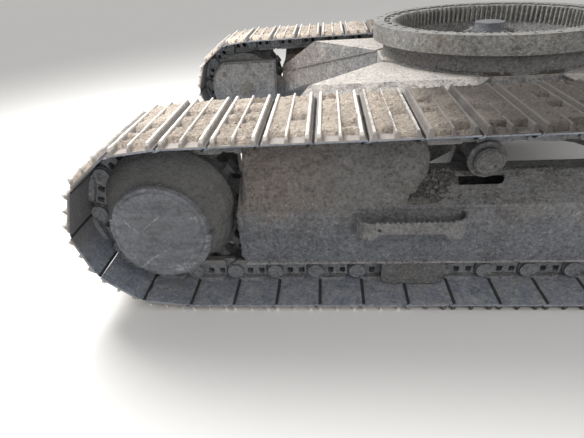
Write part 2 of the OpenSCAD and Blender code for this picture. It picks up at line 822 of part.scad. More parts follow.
for (place = LEGS)
    leg(place);
for (side = SIDES) {
    track(side);
    sprocket(side);
    final_drive(side);
    drive_bracket(side);
    motor_cover(side);
    side_frame(side);
    carrier_rollers(side);
    carrier_brackets(side);
    bottom_rollers(side);
    idler(side);
    idler_yoke(side);
    recoil_unit(side);
    track_guards(side);
    steps(side);
}
car_body();
slew_pedestal();
belly_cover();
slew_inner_race();
slew_outer_race();
swivel_housing();
swivel_rotor();
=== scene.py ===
"""Looks of a crawler undercarriage: tracks shoe by shoe, dried mud, welds, bolts and finishes.

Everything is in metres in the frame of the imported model: X from the drive end to the idler
end, Y across, Z up, with the origin on the ground under the slewing axis. What belongs to a
track is drawn about the sprocket's axle and the chain's middle, and Side.matrix() places it.
"""
import logging
import math
from collections.abc import Callable, Iterable, Iterator, Sequence
from contextlib import contextmanager
from dataclasses import dataclass, field
from enum import Enum

import bmesh
import bpy
from mathutils import Matrix, Vector, noise


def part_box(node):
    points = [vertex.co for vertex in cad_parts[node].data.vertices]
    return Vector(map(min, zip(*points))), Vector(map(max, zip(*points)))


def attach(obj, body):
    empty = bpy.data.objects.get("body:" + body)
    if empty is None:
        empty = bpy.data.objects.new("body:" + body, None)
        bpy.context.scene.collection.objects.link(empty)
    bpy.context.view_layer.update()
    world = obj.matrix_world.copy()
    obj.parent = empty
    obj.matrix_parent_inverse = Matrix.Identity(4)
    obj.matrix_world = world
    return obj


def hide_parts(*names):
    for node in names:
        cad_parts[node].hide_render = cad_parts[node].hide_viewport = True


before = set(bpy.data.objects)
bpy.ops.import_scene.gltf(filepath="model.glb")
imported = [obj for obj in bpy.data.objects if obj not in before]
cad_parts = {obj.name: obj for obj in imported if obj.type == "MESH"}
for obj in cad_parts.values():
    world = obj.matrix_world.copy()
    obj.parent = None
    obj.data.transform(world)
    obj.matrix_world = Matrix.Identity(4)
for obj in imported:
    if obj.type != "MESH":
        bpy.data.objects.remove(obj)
LOG = logging.getLogger("undercarriage")
ROOT = "undercarriage"
HANDS = (-1, 1)
SHARP = 32.0
Thing = bpy.types.Object
Colour = tuple[float, float, float]
Pair = tuple[float, float]
Rows = tuple[tuple[float, ...], ...]
Test = Callable[[Vector, Vector], bool]
Surface = Callable[[float, float], Vector]


# Numbers and places


def clamp(value: float, low: float = 0.0, high: float = 1.0) -> float:
    """Holds a value between two limits."""
    return max(low, min(high, value))


def taper(way: float, steep: float, lift: float = 0.0) -> float:
    """Rises from lift at 0 to 1 and falls again towards 1, as the rim of a heap does."""
    return min(1.0, min(way, 1 - way) * steep + lift)


def scatter(a: float, b: float, c: float = 0.0) -> float:
    """A number from 0 to 1 that only depends on its three arguments."""
    return math.modf(abs(math.sin(a * 12.9898 + b * 78.233 + c * 37.719)) * 43758.5453)[0]


def lumps(at: Vector, coarse: float = 0.05) -> float:
    """Sum of smooth noises, from -1 to 1, as dried mud is lumpy."""
    return (noise.noise(at / coarse) * 0.55 + noise.noise(at / coarse * 2.7) * 0.3
            + noise.noise(at / coarse * 7.0) * 0.25)


def grains(at: Vector, fine: float) -> float:
    """Fine noise that only rises, as grit does."""
    return abs(noise.noise(at * fine))


def between(path: Rows, way: float) -> tuple[float, ...]:
    """Interpolates along rows of position and values, in rising order.

    Args:
        path: The rows, with positions from 0 to 1.
        way: Where to read them.

    Returns:
        The values there.
    """
    for low, high in zip(path, path[1:]):
        if way <= high[0]:
            part = (way - low[0]) / (high[0] - low[0])
            return tuple(a + (b - a) * part for a, b in zip(low[1:], high[1:]))
    return tuple(path[-1][1:])


def shift(x: float, y: float, z: float) -> Matrix:
    """A move."""
    return Matrix.Translation((x, y, z))


def spin(degrees: float, axis: str) -> Matrix:
    """A turn about an axis."""
    return Matrix.Rotation(math.radians(degrees), 4, axis)


def angles(count: int, start: float = 0.5) -> list[float]:
    """Evenly spaced angles round a circle; start is the first one's share of a step."""
    return [math.tau * (k + start) / count for k in range(count)]


def polar(angle: float, radius: float, y: float, z: float = 0.0) -> Vector:
    """The point at an angle round an axle that lies across, at height z."""
    return Vector((math.cos(angle) * radius, y, z + math.sin(angle) * radius))


def arc(radius: float, degrees: Iterable[float], x: float) -> list[Pair]:
    """Corners in X and Z on a circle about a middle on the X axis."""
    return [(x + radius * math.cos(math.radians(a)), radius * math.sin(math.radians(a))) for a in degrees]


class Side(Enum):
    """The two tracks. Pieces are modelled for the right one and mirrored to the left."""

    LEFT = "left"
    RIGHT = "right"

    def matrix(self) -> Matrix:
        """Places a piece, drawn from the sprocket's axle and the chain's middle, on its side."""
        low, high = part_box("final_drive_right")
        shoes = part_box("track_right")
        place = shift((low.x + high.x) / 2, (shoes[0].y + shoes[1].y) / 2, 0.0)
        return place if self is Side.RIGHT else Matrix.Diagonal((1, -1, 1, 1)) @ place


class Slot(Enum):
    """Material slots of the record."""

    PAINT = "frame_paint"
    SHOES = "shoe_steel"
    ROLLERS = "roller_iron"
    DRIVE = "drive_iron"
    RING = "ring_steel"


# Shader graph


class Graph:
    """The node tree of a material or world, filled by one method that adds any node."""

    def __init__(self, owner: bpy.types.Material | bpy.types.World) -> None:
        """Starts from an empty tree."""
        owner.use_nodes = True
        self.tree = owner.node_tree
        self.tree.nodes.clear()

    def add(self, kind: str, settings: dict[str, object], sockets: dict[int | str, object],
            out: int | str = 0) -> "Wire":
        """Adds a node.

        Args:
            kind: The node's type.
            settings: Properties, set before any socket is used.
            sockets: Value or link of each input, by name or number.
            out: The output that is handed back.

        Returns:
            That output, ready for maths.
        """
        node = self.tree.nodes.new(kind)
        for key, value in settings.items():
            setattr(node, key, value)
        for key, value in sockets.items():
            if isinstance(value, Wire):
                self.tree.links.new(value.socket, node.inputs[key])
            else:
                node.inputs[key].default_value = value
        return Wire(self, node.outputs[out] if len(node.outputs) else None)

    def mix(self, factor: "Wire | float", first: object, second: object, blend: str = "MIX") -> "Wire":
        """Mixes two colours; plain colours are given as three numbers."""
        ends = [(*c, 1.0) if isinstance(c, tuple) else c for c in (first, second)]
        return self.add("ShaderNodeMix", {"data_type": "RGBA", "blend_type": blend},
                        {0: factor, 6: ends[0], 7: ends[1]}, 2)

    def noise(self, at: "Wire", scale: float, detail: float = 3.0, roughness: float = 0.55) -> "Wire":
        """Cloudy noise, about 0.5 in the middle."""
        return self.add("ShaderNodeTexNoise", {}, {
            "Vector": at, "Scale": scale, "Detail": detail, "Roughness": roughness})

    def pebbles(self, at: "Wire", out: str) -> "Wire":
        """Small stones: the distance from the middle of one, or its own random colour."""
        return self.add("ShaderNodeTexVoronoi", {}, {"Vector": at, "Scale": 75.0}, out)

    def mapped(self, at: "Wire", kind: str = "POINT", **places: Sequence[float]) -> "Wire":
        """Stretches, turns or moves coordinates, for streaks and scratches."""
        return self.add("ShaderNodeMapping", {"vector_type": kind}, {"Vector": at, **places})

    def vector(self, operation: str, *values: object, out: int | str = 0) -> "Wire":
        """Adds one Vector Math node."""
        return self.add("ShaderNodeVectorMath", {"operation": operation}, dict(enumerate(values)), out)

    def axis(self, at: "Wire", name: str) -> "Wire":
        """One coordinate of a vector."""
        return self.add("ShaderNodeSeparateXYZ", {}, {0: at}, name)

    def mark(self, name: str) -> "Wire":
        """A number that the piece's own points carry."""
        return self.add("ShaderNodeAttribute", {"attribute_name": name}, {}, "Fac")

    def surface(self, sockets: dict[int | str, object]) -> None:
        """Ends a material's tree in a principled surface."""
        shader = self.add("ShaderNodeBsdfPrincipled", {}, sockets)
        self.add("ShaderNodeOutputMaterial", {}, {"Surface": shader})


class Wire:
    """A shader value; Python's operators on it add Math nodes."""

    def __init__(self, graph: Graph, socket: bpy.types.NodeSocket | None) -> None:
        """Wraps an output socket."""
        self.graph, self.socket = graph, socket

    def maths(self, operation: str, *values: "Wire | float") -> "Wire":
        """Adds one Math node for the values."""
        return self.graph.add("ShaderNodeMath", {"operation": operation}, dict(enumerate(values)))

    def __add__(self, other: "Wire | float") -> "Wire":
        """Sum."""
        return self.maths("ADD", self, other)

    def __sub__(self, other: "Wire | float") -> "Wire":
        """Difference."""
        return self.maths("SUBTRACT", self, other)

    def __rsub__(self, other: float) -> "Wire":
        """Difference from a number."""
        return self.maths("SUBTRACT", other, self)

    def __mul__(self, other: "Wire | float") -> "Wire":
        """Product."""
        return self.maths("MULTIPLY", self, other)

    def ramp(self, low: float, high: float) -> "Wire":
        """Smooth step from 0 at low to 1 at high; a low above high runs the other way."""
        back = low > high
        ends = (high, low) if back else (low, high)
        step = self.graph.add("ShaderNodeMapRange", {"interpolation_type": "SMOOTHSTEP"},
                              {"Value": self, "From Min": ends[0], "From Max": ends[1]})
        return 1 - step if back else step


# Finishes


@dataclass(frozen=True)
class Finish:
    """A weathered finish: a coat, its stains, dust on what faces up and dried soil in patches.

    The numbers from stained to grainy are the strengths of what they name, and bare is the
    colour of worn metal, for pieces that carry a wear mark.
    """

    name: str
    coat: Colour
    stain: Colour
    dust: Colour
    soil: Colour
    stained: float = 0.5
    dusty: float = 0.5
    soiled: float = 0.35
    rough: float = 0.8
    metal: float = 0.0
    gritty: float = 0.6
    speckle: float = 1.0
    grainy: float = 1.0
    bare: Colour | None = None

    def tint(self, graph: Graph, spot: Wire, colour: Wire) -> Wire:
        """Hook for what depends on the place; the plain finish changes nothing."""
        return colour

    def over(self, graph: Graph, spot: Wire, colour: Wire) -> Wire:
        """Hook for what lies over all the dirt, painted shadows included; the plain finish changes nothing.
        """
        return colour

    @staticmethod
    def ahead(graph: Graph, spot: Wire, blur: Wire) -> Wire:
        """Rises from 0 on the rear of a track to 1 ahead of its middle; it masks the painted shadow that
        the upper structure casts over the front of the tracks.
        """
        return (graph.axis(spot, "X") + blur * 0.5 - 0.15).ramp(-0.72, -0.20)

    @staticmethod
    def scaled(colour: Colour, by: float, lift: float = 0.0) -> Colour:
        """The colour, lighter or darker."""
        return tuple(min(1.0, by * c + lift) for c in colour)

    def material(self) -> bpy.types.Material:
        """Makes the material, or hands back the one already made."""
        made = bpy.data.materials.get(self.name)
        if made is None:
            made = bpy.data.materials.new(self.name)
            self.paint(Graph(made))
        return made

    def paint(self, graph: Graph) -> None:
        """Lays the coat, stains, dust, soil, specks, pebbles and bare metal over each other."""
        spot = graph.add("ShaderNodeTexCoord", {}, {}, "Object")
        facing = graph.axis(graph.add("ShaderNodeNewGeometry", {}, {}, "Normal"), "Z")
        clouds = graph.noise(spot, 3.4, 6.0, 0.65)
        mottle = graph.noise(spot, 17.0, 7.0, 0.72)
        grain = graph.noise(spot, 58.0, 4.0, 0.8)
        grit = graph.noise(spot, 150.0, 4.0, 0.75)
        stones, kind = graph.pebbles(spot, "Distance"), graph.pebbles(spot, "Color")
        runs = graph.noise(graph.mapped(spot, Scale=(30.0, 30.0, 3.0)), 1.0, 5.0, 0.65)

        stain = (clouds * 0.6 + mottle * 0.5 + runs * 0.3).ramp(
            0.86 - 0.28 * self.stained, 1.02 - 0.2 * self.stained)
        colour = self.tint(graph, spot, graph.mix(stain * 0.8, self.coat, self.stain))
        dust = (facing * 0.45 + mottle * 0.9 + runs * 0.3).ramp(
            1.15 - 0.8 * self.dusty, 1.60 - 0.7 * self.dusty)
        colour = graph.mix(dust * 0.8, colour, self.dust)
        soil = (mottle * 0.7 + clouds * 0.5 + grain * 0.75 + facing * 0.12).ramp(
            1.20 - 0.5 * self.soiled, 1.56 - 0.5 * self.soiled)
        colour = graph.mix(soil * 0.75, colour, self.soil)
        pale = (graph.noise(spot, 44.0, 5.0, 0.7) + grit * 0.25).ramp(0.68, 0.88)
        colour = graph.mix(pale * (0.45 * self.speckle), colour, self.scaled(self.dust, 1.5, 0.02))
        lying = stones.ramp(0.60, 0.30) * (clouds * 0.7 + mottle * 0.5).ramp(0.54, 0.70) * self.speckle
        colour = graph.mix(lying * kind.ramp(0.58, 0.78) * 0.42, colour, self.scaled(self.dust, 1.4))
        colour = graph.mix(lying * kind.ramp(0.46, 0.30) * 0.65, colour, self.scaled(self.coat, 0.5))
        shade = (grit * 0.8 + mottle * 1.5 + grain * 2.6 - 2.45) * self.grainy + 1.0
        grey = graph.add("ShaderNodeCombineXYZ", {}, {0: shade, 1: shade, 2: shade})
        colour = self.over(graph, spot, graph.mix(1.0, colour, grey, "MULTIPLY"))
        rough = grit * 0.2 + mottle * 0.15 + (self.rough - 0.17)
        metal = (1 - dust) * (1 - soil) * self.metal
        if self.bare:
            worn = (graph.mark("wear") + graph.noise(spot, 35.0) * 0.7 - 0.35).ramp(0.45, 0.85)
            scratch = graph.noise(graph.mapped(spot, Scale=(8.0, 60.0, 60.0)), 3.0, 2.0)
            colour = graph.mix(worn, colour, graph.mix(scratch, self.bare, self.scaled(self.bare, 0.72)))
            rough = rough * (1 - worn) + worn * 0.45
            metal = metal * (1 - worn) + worn * 0.35
        raised = (1 - stones.ramp(0.05, 0.65)) * (soil * 0.6 + 0.25)
        height = grit * 0.4 + grain * 0.5 + mottle + soil * 0.4 + raised
        bump = graph.add("ShaderNodeBump", {}, {
            "Strength": self.gritty, "Distance": 0.011, "Height": height})
        graph.surface({"Base Color": colour, "Roughness": rough, "Metallic": metal, "Normal": bump,
                       "Specular IOR Level": 0.3})


@dataclass(frozen=True)
class PaintFinish(Finish):
    """Frame paint: brown where mud ran down the rear, grey lower down, worn along the lower edge."""

    warm: Colour = (0.205, 0.160, 0.130)
    cool: Colour = (0.145, 0.156, 0.176)
    edge: Colour = (0.34, 0.325, 0.31)

    def tint(self, graph: Graph, spot: Wire, colour: Wire) -> Wire:
        """Shades the coat by height and length, as mud and wear have coloured it."""
        along, up = graph.axis(spot, "X"), graph.axis(spot, "Z")
        blur = graph.noise(spot, 8.0, 5.0, 0.6)
        high = (up + blur * 0.2).ramp(0.46, 0.62) * (along + blur * 0.5).ramp(-0.55, -0.95)
        colour = graph.mix(high * along.ramp(-1.36, -1.26) * 0.5, colour, self.warm)
        low = (up + blur * 0.3 - 0.09).ramp(0.56, 0.36)
        colour = graph.mix(low * 0.8, colour, self.cool)
        lip = (up + blur * 0.01).ramp(0.197, 0.187) * up.ramp(0.10, 0.13)
        return graph.mix(lip * 0.6, colour, self.edge)


@dataclass(frozen=True)
class CoverFinish(Finish):
    """Final drive iron: scratches across the cover's face and a rubbed rim that is partly a painted
    highlight.
    """

    # The scratch colour also paints the rim's highlight.
    scratch: Colour = (0.42, 0.42, 0.44)
    smeared: Colour = (0.215, 0.22, 0.235)
    hollow: Colour = (0.080, 0.082, 0.088)
    rim: Pair = (0.172, 0.206)
    scratches: Rows = ((-0.62, 9.3, 0.66), (-0.9, 5.1, 0.68), (-2.3, 3.7, 0.69))

    def tint(self, graph: Graph, spot: Wire, colour: Wire) -> Wire:
        """Adds streaks, slanting scratches and the rubbed rim, partly a painted highlight, by the distance
        to the axle.
        """
        low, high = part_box("final_drive_right")
        centred = graph.vector("SUBTRACT", spot, ((low.x + high.x) / 2, 0.0, (low.z + high.z) / 2))
        flat = graph.vector("MULTIPLY", centred, (1.0, 0.0, 1.0))
        reach = graph.vector("LENGTH", flat, out="Value")
        fine = graph.noise(spot, 42.0, 5.0, 0.7)
        inner, outer = self.rim
        # Rubbed rim: wear, and partly a painted highlight along the rim's edge.
        rim_wear_and_highlight = reach.ramp(inner - 0.012, inner + 0.006) * reach.ramp(outer + 0.004, outer - 0.004)
        smear = graph.mapped(centred, Rotation=(0.0, 0.62, 0.0), Scale=(9.0, 10.0, 30.0))
        streaks = graph.noise(smear, 1.0, 6.0, 0.7)
        colour = graph.mix(streaks.ramp(0.48, 0.66) * 0.55, colour, self.smeared)
        colour = graph.mix(streaks.ramp(0.52, 0.34) * 0.55, colour, self.hollow)
        colour = graph.mix(reach.ramp(0.15, 0.04) * streaks * 0.5, colour, self.hollow)
        part = graph.noise(spot, 7.0, 3.0).ramp(0.46, 0.60)
        colour = graph.mix(rim_wear_and_highlight * part * fine.ramp(0.45, 0.68) * 0.6, colour, self.scratch)
        for angle, place, edge in self.scratches:
            slanted = graph.mapped(centred, "TEXTURE", Rotation=(0.0, angle, 0.0), Scale=(0.30, 1.0, 0.022),
                                   Location=(place, 0.0, place))
            line = graph.noise(slanted, 1.0, 2.0, 0.5)
            drawn = line.ramp(edge, edge + 0.06) * fine.ramp(0.42, 0.60) * 0.65
            colour = graph.mix(drawn, colour, self.scratch)
        return colour


@dataclass(frozen=True)
class ShoeFinish(Finish):
    """Shoe steel: cake outside, dirt with painted shade in the joints between shoes, from the piece's own
    marks, and a painted shadow of the upper structure ahead of the track's middle.
    """

    # Near-black joint colour: dirt with painted shade between the shoes.
    shadowed_dirt: Colour = (0.022, 0.020, 0.019)
    # Painted shadow of the upper structure over the shoes ahead of the track's middle.
    painted_house_shadow: Colour = (0.074, 0.067, 0.062)
    cake: Colour = (0.37, 0.325, 0.285)
    wrapped: Colour = (0.150, 0.134, 0.120)

    def over(self, graph: Graph, spot: Wire, colour: Wire) -> Wire:
        """Lays the cake on the outer faces, the painted shadow of the upper structure ahead of the track's
        middle, and dirt with painted shade along the joints.
        """
        rear = (graph.axis(spot, "X") + graph.noise(spot, 9.0) * 0.2).ramp(-1.60, -1.78)
        rear = rear * (graph.axis(spot, "Z") + graph.noise(spot, 12.0) * 0.1).ramp(0.30, 0.44)
        colour = graph.mix(rear * 0.65, colour, self.wrapped)
        caked = graph.mark("outer").ramp(0.2, 0.8)
        colour = graph.mix(caked * 0.75, colour, self.cake)
        # Painted shadow of the upper structure on the outer faces ahead of the track's middle.
        house_shadow_mask = self.ahead(graph, spot, graph.noise(spot, 5.0)) * caked
        colour = graph.mix(house_shadow_mask * 0.96, colour, self.painted_house_shadow)
        # Dirt and painted shade along the joints, from the piece's joint marks.
        joint_dirt_shade_mask = (graph.mark("joint_dirt_and_shade") + graph.noise(spot, 40.0) * 0.3 - 0.15).ramp(0.35, 0.75)
        return graph.mix(joint_dirt_shade_mask * 0.9, colour, self.shadowed_dirt)


@dataclass(frozen=True)
class MudFinish(Finish):
    """Dried mud on the shoes: pale and sandy towards the drive end, darker and browner ahead of it, where a
    shadow of the upper structure is painted.
    """

    # Painted shadow of the upper structure over the mud ahead of the track's middle.
    shadowed_dirt: Colour = (0.070, 0.060, 0.053)

    def over(self, graph: Graph, spot: Wire, colour: Wire) -> Wire:
        """Darkens the mud from the middle of the track on, as a painted shadow of the upper structure."""
        ahead = self.ahead(graph, spot, graph.noise(spot, 5.0, 5.0, 0.6))
        return graph.mix(ahead * 0.96, colour, self.shadowed_dirt)


class Finishes:
    """The finishes of this undercarriage: each has its coat, stain, dust and soil colours first."""

    PAINT = PaintFinish(
        "caked_frame_paint", (0.202, 0.198, 0.196), (0.118, 0.103, 0.091), (0.32, 0.312, 0.302),
        (0.150, 0.139, 0.129), stained=0.48, dusty=0.34, soiled=0.34, gritty=1.0)
    DUSTY = PaintFinish(
        "dusty_frame_paint", (0.225, 0.22, 0.215), (0.170, 0.15, 0.132), (0.56, 0.52, 0.475),
        (0.30, 0.27, 0.24), stained=0.35, dusty=0.74, soiled=0.25, gritty=0.8, speckle=0.25)
    STEP = Finish(
        "step_plate_trodden", (0.185, 0.183, 0.182), (0.14, 0.13, 0.12), (0.27, 0.265, 0.255),
        (0.175, 0.162, 0.148), stained=0.35, dusty=0.4, soiled=0.3, gritty=0.9, speckle=0.8)
    GUARD = Finish(
        "guard_plate_rubbed", (0.140, 0.138, 0.138), (0.11, 0.095, 0.083), (0.22, 0.205, 0.19),
        (0.155, 0.14, 0.125), stained=0.45, dusty=0.35, soiled=0.4, rough=0.75, gritty=0.8)
    # Shoe steel, with painted shade in the joints and a painted shadow ahead of the track's middle.
    SHOE = ShoeFinish(
        "shoe_steel_muddy_painted_shade", (0.250, 0.272, 0.315), (0.168, 0.168, 0.176), (0.36, 0.33, 0.30),
        (0.20, 0.190, 0.180), stained=0.4, dusty=0.30, soiled=0.16, rough=0.7, metal=0.15,
        gritty=0.5, speckle=0.5, grainy=0.8, bare=(0.86, 0.82, 0.76))
    LINK = Finish(
        "link_forging_dusty", (0.235, 0.242, 0.256), (0.160, 0.148, 0.140), (0.31, 0.295, 0.278),
        (0.150, 0.136, 0.122), stained=0.45, dusty=0.4, soiled=0.45, rough=0.75, metal=0.1,
        gritty=0.8, bare=(0.33, 0.32, 0.31))
    ROLLER = Finish(
        "roller_iron_dusty", (0.135, 0.132, 0.132), (0.105, 0.09, 0.078), (0.22, 0.208, 0.192),
        (0.155, 0.140, 0.124), stained=0.4, dusty=0.35, rough=0.75, metal=0.1, gritty=0.7,
        bare=(0.35, 0.34, 0.33))
    DRIVE = CoverFinish(
        "drive_iron_scoured", (0.152, 0.157, 0.170), (0.115, 0.108, 0.102), (0.20, 0.195, 0.19),
        (0.135, 0.126, 0.117), stained=0.45, dusty=0.28, soiled=0.28, rough=0.75, gritty=0.7,
        speckle=0.3, grainy=0.6)
    RING = Finish(
        "ring_steel_oiled", (0.25, 0.245, 0.235), (0.13, 0.09, 0.062), (0.27, 0.25, 0.215),
        (0.11, 0.09, 0.07), stained=0.55, dusty=0.2, soiled=0.2, rough=0.5, metal=0.6,
        gritty=0.3, speckle=0.2)
    BOLT = Finish(
        "bolt_head_dusty", (0.14, 0.135, 0.13), (0.12, 0.085, 0.062), (0.28, 0.25, 0.215),
        (0.18, 0.155, 0.13), dusty=0.4, soiled=0.2, rough=0.65, metal=0.3, gritty=0.4)
    # Dried mud, with a painted shadow ahead of the track's middle.
    MUD = MudFinish(
        "dried_mud_painted_shadow", (0.52, 0.44, 0.365), (0.34, 0.27, 0.215), (0.70, 0.62, 0.53),
        (0.37, 0.30, 0.24), stained=0.42, dusty=0.4, soiled=0.4, rough=0.92, gritty=1.0)
    CLOD = PaintFinish(
        "grey_caked_mud", (0.188, 0.181, 0.175), (0.104, 0.090, 0.080), (0.28, 0.268, 0.254),
        (0.135, 0.122, 0.111), dusty=0.3, soiled=0.4, rough=0.92, gritty=1.0)
    GRAVEL = Finish(
        "loose_gravel", (0.115, 0.110, 0.103), (0.085, 0.076, 0.068), (0.175, 0.165, 0.152),
        (0.110, 0.100, 0.090), dusty=0.3, soiled=0.4, rough=0.92, gritty=1.0, speckle=1.3, grainy=1.4)
    DRIVE_MUD = Finish(
        "drive_caked_mud", (0.140, 0.138, 0.136), (0.092, 0.084, 0.077), (0.195, 0.191, 0.186),
        (0.112, 0.105, 0.099), stained=0.4, dusty=0.25, rough=0.9, gritty=0.8, speckle=0.35, grainy=0.7)
    # Seal rubber, also the painted shade of the steps' holes.
    SEAL_AND_HOLE_SHADE = Finish(
        "seal_rubber_and_hole_shade", (0.03, 0.03, 0.032), (0.045, 0.042, 0.04), (0.16, 0.14, 0.12),
        (0.10, 0.085, 0.07), stained=0.3, dusty=0.3, soiled=0.15, rough=0.6, gritty=0.2, speckle=0.2)


# Bench


class Bench:
    """Modelling moves, made with Blender's own operators as by hand."""

    @staticmethod
    def only(*things: Thing) -> None:
        """Selects just these objects, the last one active, in object mode."""
        if bpy.context.mode != "OBJECT":
            bpy.ops.object.mode_set(mode="OBJECT")
        bpy.ops.object.select_all(action="DESELECT")
        for thing in things:
            thing.select_set(True)
            bpy.context.view_layer.objects.active = thing

    @staticmethod
    def added() -> Thing:
        """Puts the place of the primitive just added into its mesh."""
        thing = bpy.context.active_object
        Bench.only(thing)
        bpy.ops.object.transform_apply(location=True, rotation=True, scale=True)
        return thing

    @staticmethod
    @contextmanager
    def edit(thing: Thing) -> Iterator[None]:
        """Holds edit mode on one object, with nothing selected at first."""
        Bench.only(thing)
        bpy.ops.object.mode_set(mode="EDIT")
        bpy.ops.mesh.select_mode(type="FACE")
        bpy.ops.mesh.select_all(action="DESELECT")
        yield
        bpy.ops.object.mode_set(mode="OBJECT")

    @staticmethod
    def faces(thing: Thing, test: Test) -> None:
        """Selects the faces whose middle and normal pass the test."""
        bpy.ops.mesh.select_mode(type="FACE")
        mesh = bmesh.from_edit_mesh(thing.data)
        for face in mesh.faces:
            face.select_set(test(face.calc_center_median(), face.normal))
        mesh.select_flush_mode()
        bmesh.update_edit_mesh(thing.data)

    @staticmethod
    def edges(thing: Thing, test: Test) -> None:
        """Selects the edges whose middle and direction pass the test."""
        bpy.ops.mesh.select_mode(type="EDGE")
        bpy.ops.mesh.select_all(action="DESELECT")
        mesh = bmesh.from_edit_mesh(thing.data)
        for edge in mesh.edges:
            ends = edge.verts[0].co, edge.verts[1].co
            edge.select_set(test((ends[0] + ends[1]) / 2, (ends[1] - ends[0]).normalized()))
        bmesh.update_edit_mesh(thing.data)

    @staticmethod
    def extrude(by: Sequence[float]) -> None:
        """Extrudes the selected faces or edges."""
        bpy.ops.mesh.extrude_region_move(TRANSFORM_OT_translate={"value": tuple(by)})

    @staticmethod
    def outwards() -> None:
        """Merges doubles and turns every face outwards."""
        bpy.ops.mesh.select_all(action="SELECT")
        bpy.ops.mesh.remove_doubles(threshold=1e-5)
        bpy.ops.mesh.delete_loose()
        bpy.ops.mesh.select_all(action="SELECT")
        bpy.ops.mesh.normals_make_consistent(inside=False)

    @staticmethod
    def open_edges() -> None:
        """Selects the edges of an open rim."""
        bpy.ops.mesh.select_mode(type="EDGE")
        bpy.ops.mesh.select_all(action="DESELECT")
        bpy.ops.mesh.select_non_manifold()

    @staticmethod
    def cut(at: Sequence[float], normal: Sequence[float]) -> None:
        """Cuts the edited mesh along a plane and keeps both halves."""
        bpy.ops.mesh.select_all(action="SELECT")
        bpy.ops.mesh.bisect(plane_co=tuple(at), plane_no=tuple(normal))

    @staticmethod
    def bevel(width: float, segments: int) -> None:
        """Bevels the selected edges."""
        bpy.ops.mesh.bevel(offset=width, segments=segments, affect="EDGES", clamp_overlap=True)

    @staticmethod
    def outline(points: Iterable[Sequence[float]], count: int, fill: str) -> Thing:
        """Draws a closed line through that many points, empty or filled."""
        Bench.only()
        bpy.ops.mesh.primitive_circle_add(vertices=count, fill_type=fill)
        thing = Bench.added()
        for corner, point in zip(thing.data.vertices, points):
            corner.co = point
        return thing

    @staticmethod
    def profile(points: Sequence[Pair], start: float, end: float) -> Thing:
        """Draws an outline in X and Z and extrudes it across.

        Args:
            points: The outline's corners.
            start: Y of the first face.
            end: Y of the second face.

        Returns:
            The closed solid.
        """
        thing = Bench.outline(((x, start, z) for x, z in points), len(points), "NGON")
        with Bench.edit(thing):
            bpy.ops.mesh.select_all(action="SELECT")
            Bench.extrude((0, end - start, 0))
            Bench.outwards()
        return thing

    @staticmethod
    def turned(points: Sequence[Pair], steps: int, closed: bool = False) -> Thing:
        """Spins a profile of radius and height about the Z axis.

        Args:
            points: Radius and height along the profile, from axis to axis unless closed.
            steps: Faces round the axis.
            closed: True for a ring whose profile is a closed loop.

        Returns:
            The turned solid, with its axis on Z.
        """
        thing = Bench.outline(((r, 0, z) for r, z in points), len(points), "NOTHING")
        with Bench.edit(thing):
            if not closed:
                Bench.edges(thing, lambda mid, way: abs(mid.x) < 1e-7)
                bpy.ops.mesh.delete(type="EDGE")
            bpy.ops.mesh.select_mode(type="VERT")
            bpy.ops.mesh.select_all(action="SELECT")
            bpy.ops.mesh.spin(steps=steps, angle=math.tau, center=(0, 0, 0), axis=(0, 0, 1))
            Bench.outwards()
        return thing

    @staticmethod
    def stud(radius: float, height: float, corners: int = 6, hollow: float = 0.0) -> Thing:
        """Models a bolt head that stands on Z = 0: a washer's rim, a chamfered top and a dimple.

        Args:
            radius: Across the head's corners.
            height: Of the head.
            corners: Six for a hexagon, more for a round plug.
            hollow: Depth of the dimple or socket.

        Returns:
            The head.
        """
        Bench.only()
        bpy.ops.mesh.primitive_cylinder_add(vertices=corners, radius=radius, depth=height,
                                            location=(0, 0, height / 2))
        thing = Bench.added()
        with Bench.edit(thing):
            Bench.faces(thing, lambda mid, out: out.z > 0.9)
            bpy.ops.mesh.inset(thickness=radius * 0.14, depth=radius * 0.10)
            if hollow:
                bpy.ops.mesh.inset(thickness=radius * 0.3, depth=0)
                bpy.ops.mesh.inset(thickness=radius * 0.04, depth=-hollow)
        return thing

    @staticmethod
    def put(thing: Thing, matrix: Matrix) -> Thing:
        """Moves an object's mesh."""
        thing.data.transform(matrix)
        return thing

    @staticmethod
    def copy(thing: Thing, matrix: Matrix) -> Thing:
        """Copies an object with its own mesh, placed in that mesh, and keeps faces outwards."""
        twin = thing.copy()
        twin.data = thing.data.copy()
        bpy.context.scene.collection.objects.link(twin)
        twin.data.transform(matrix)
        if matrix.determinant() < 0:
            twin.data.flip_normals()
        return twin

    @staticmethod
    def drop(thing: Thing) -> None:
        """Deletes a pattern that has served its turn."""
        mesh = thing.data
        bpy.data.objects.remove(thing)
        bpy.data.meshes.remove(mesh)

    @staticmethod
    def join(things: Sequence[Thing]) -> Thing:
        """Joins objects to one."""
        Bench.only(*things)
        bpy.ops.object.join()
        return bpy.context.active_object

    @staticmethod
    def array(pattern: Thing, places: Iterable[Matrix]) -> Thing:
        """Stands a copy of the pattern at each place, as one object, and deletes the pattern."""
        made = [Bench.copy(pattern, place) for place in places]
        Bench.drop(pattern)
        return Bench.join(made)

    @staticmethod
    def carve(thing: Thing, tool: Thing) -> None:
        """Cuts the tool out of an object and deletes the tool."""
        Bench.only(thing)
        cut = thing.modifiers.new("carve", "BOOLEAN")
        cut.operation, cut.object, cut.solver = "DIFFERENCE", tool, "EXACT"
        bpy.ops.object.modifier_apply(modifier=cut.name)
        Bench.drop(tool)

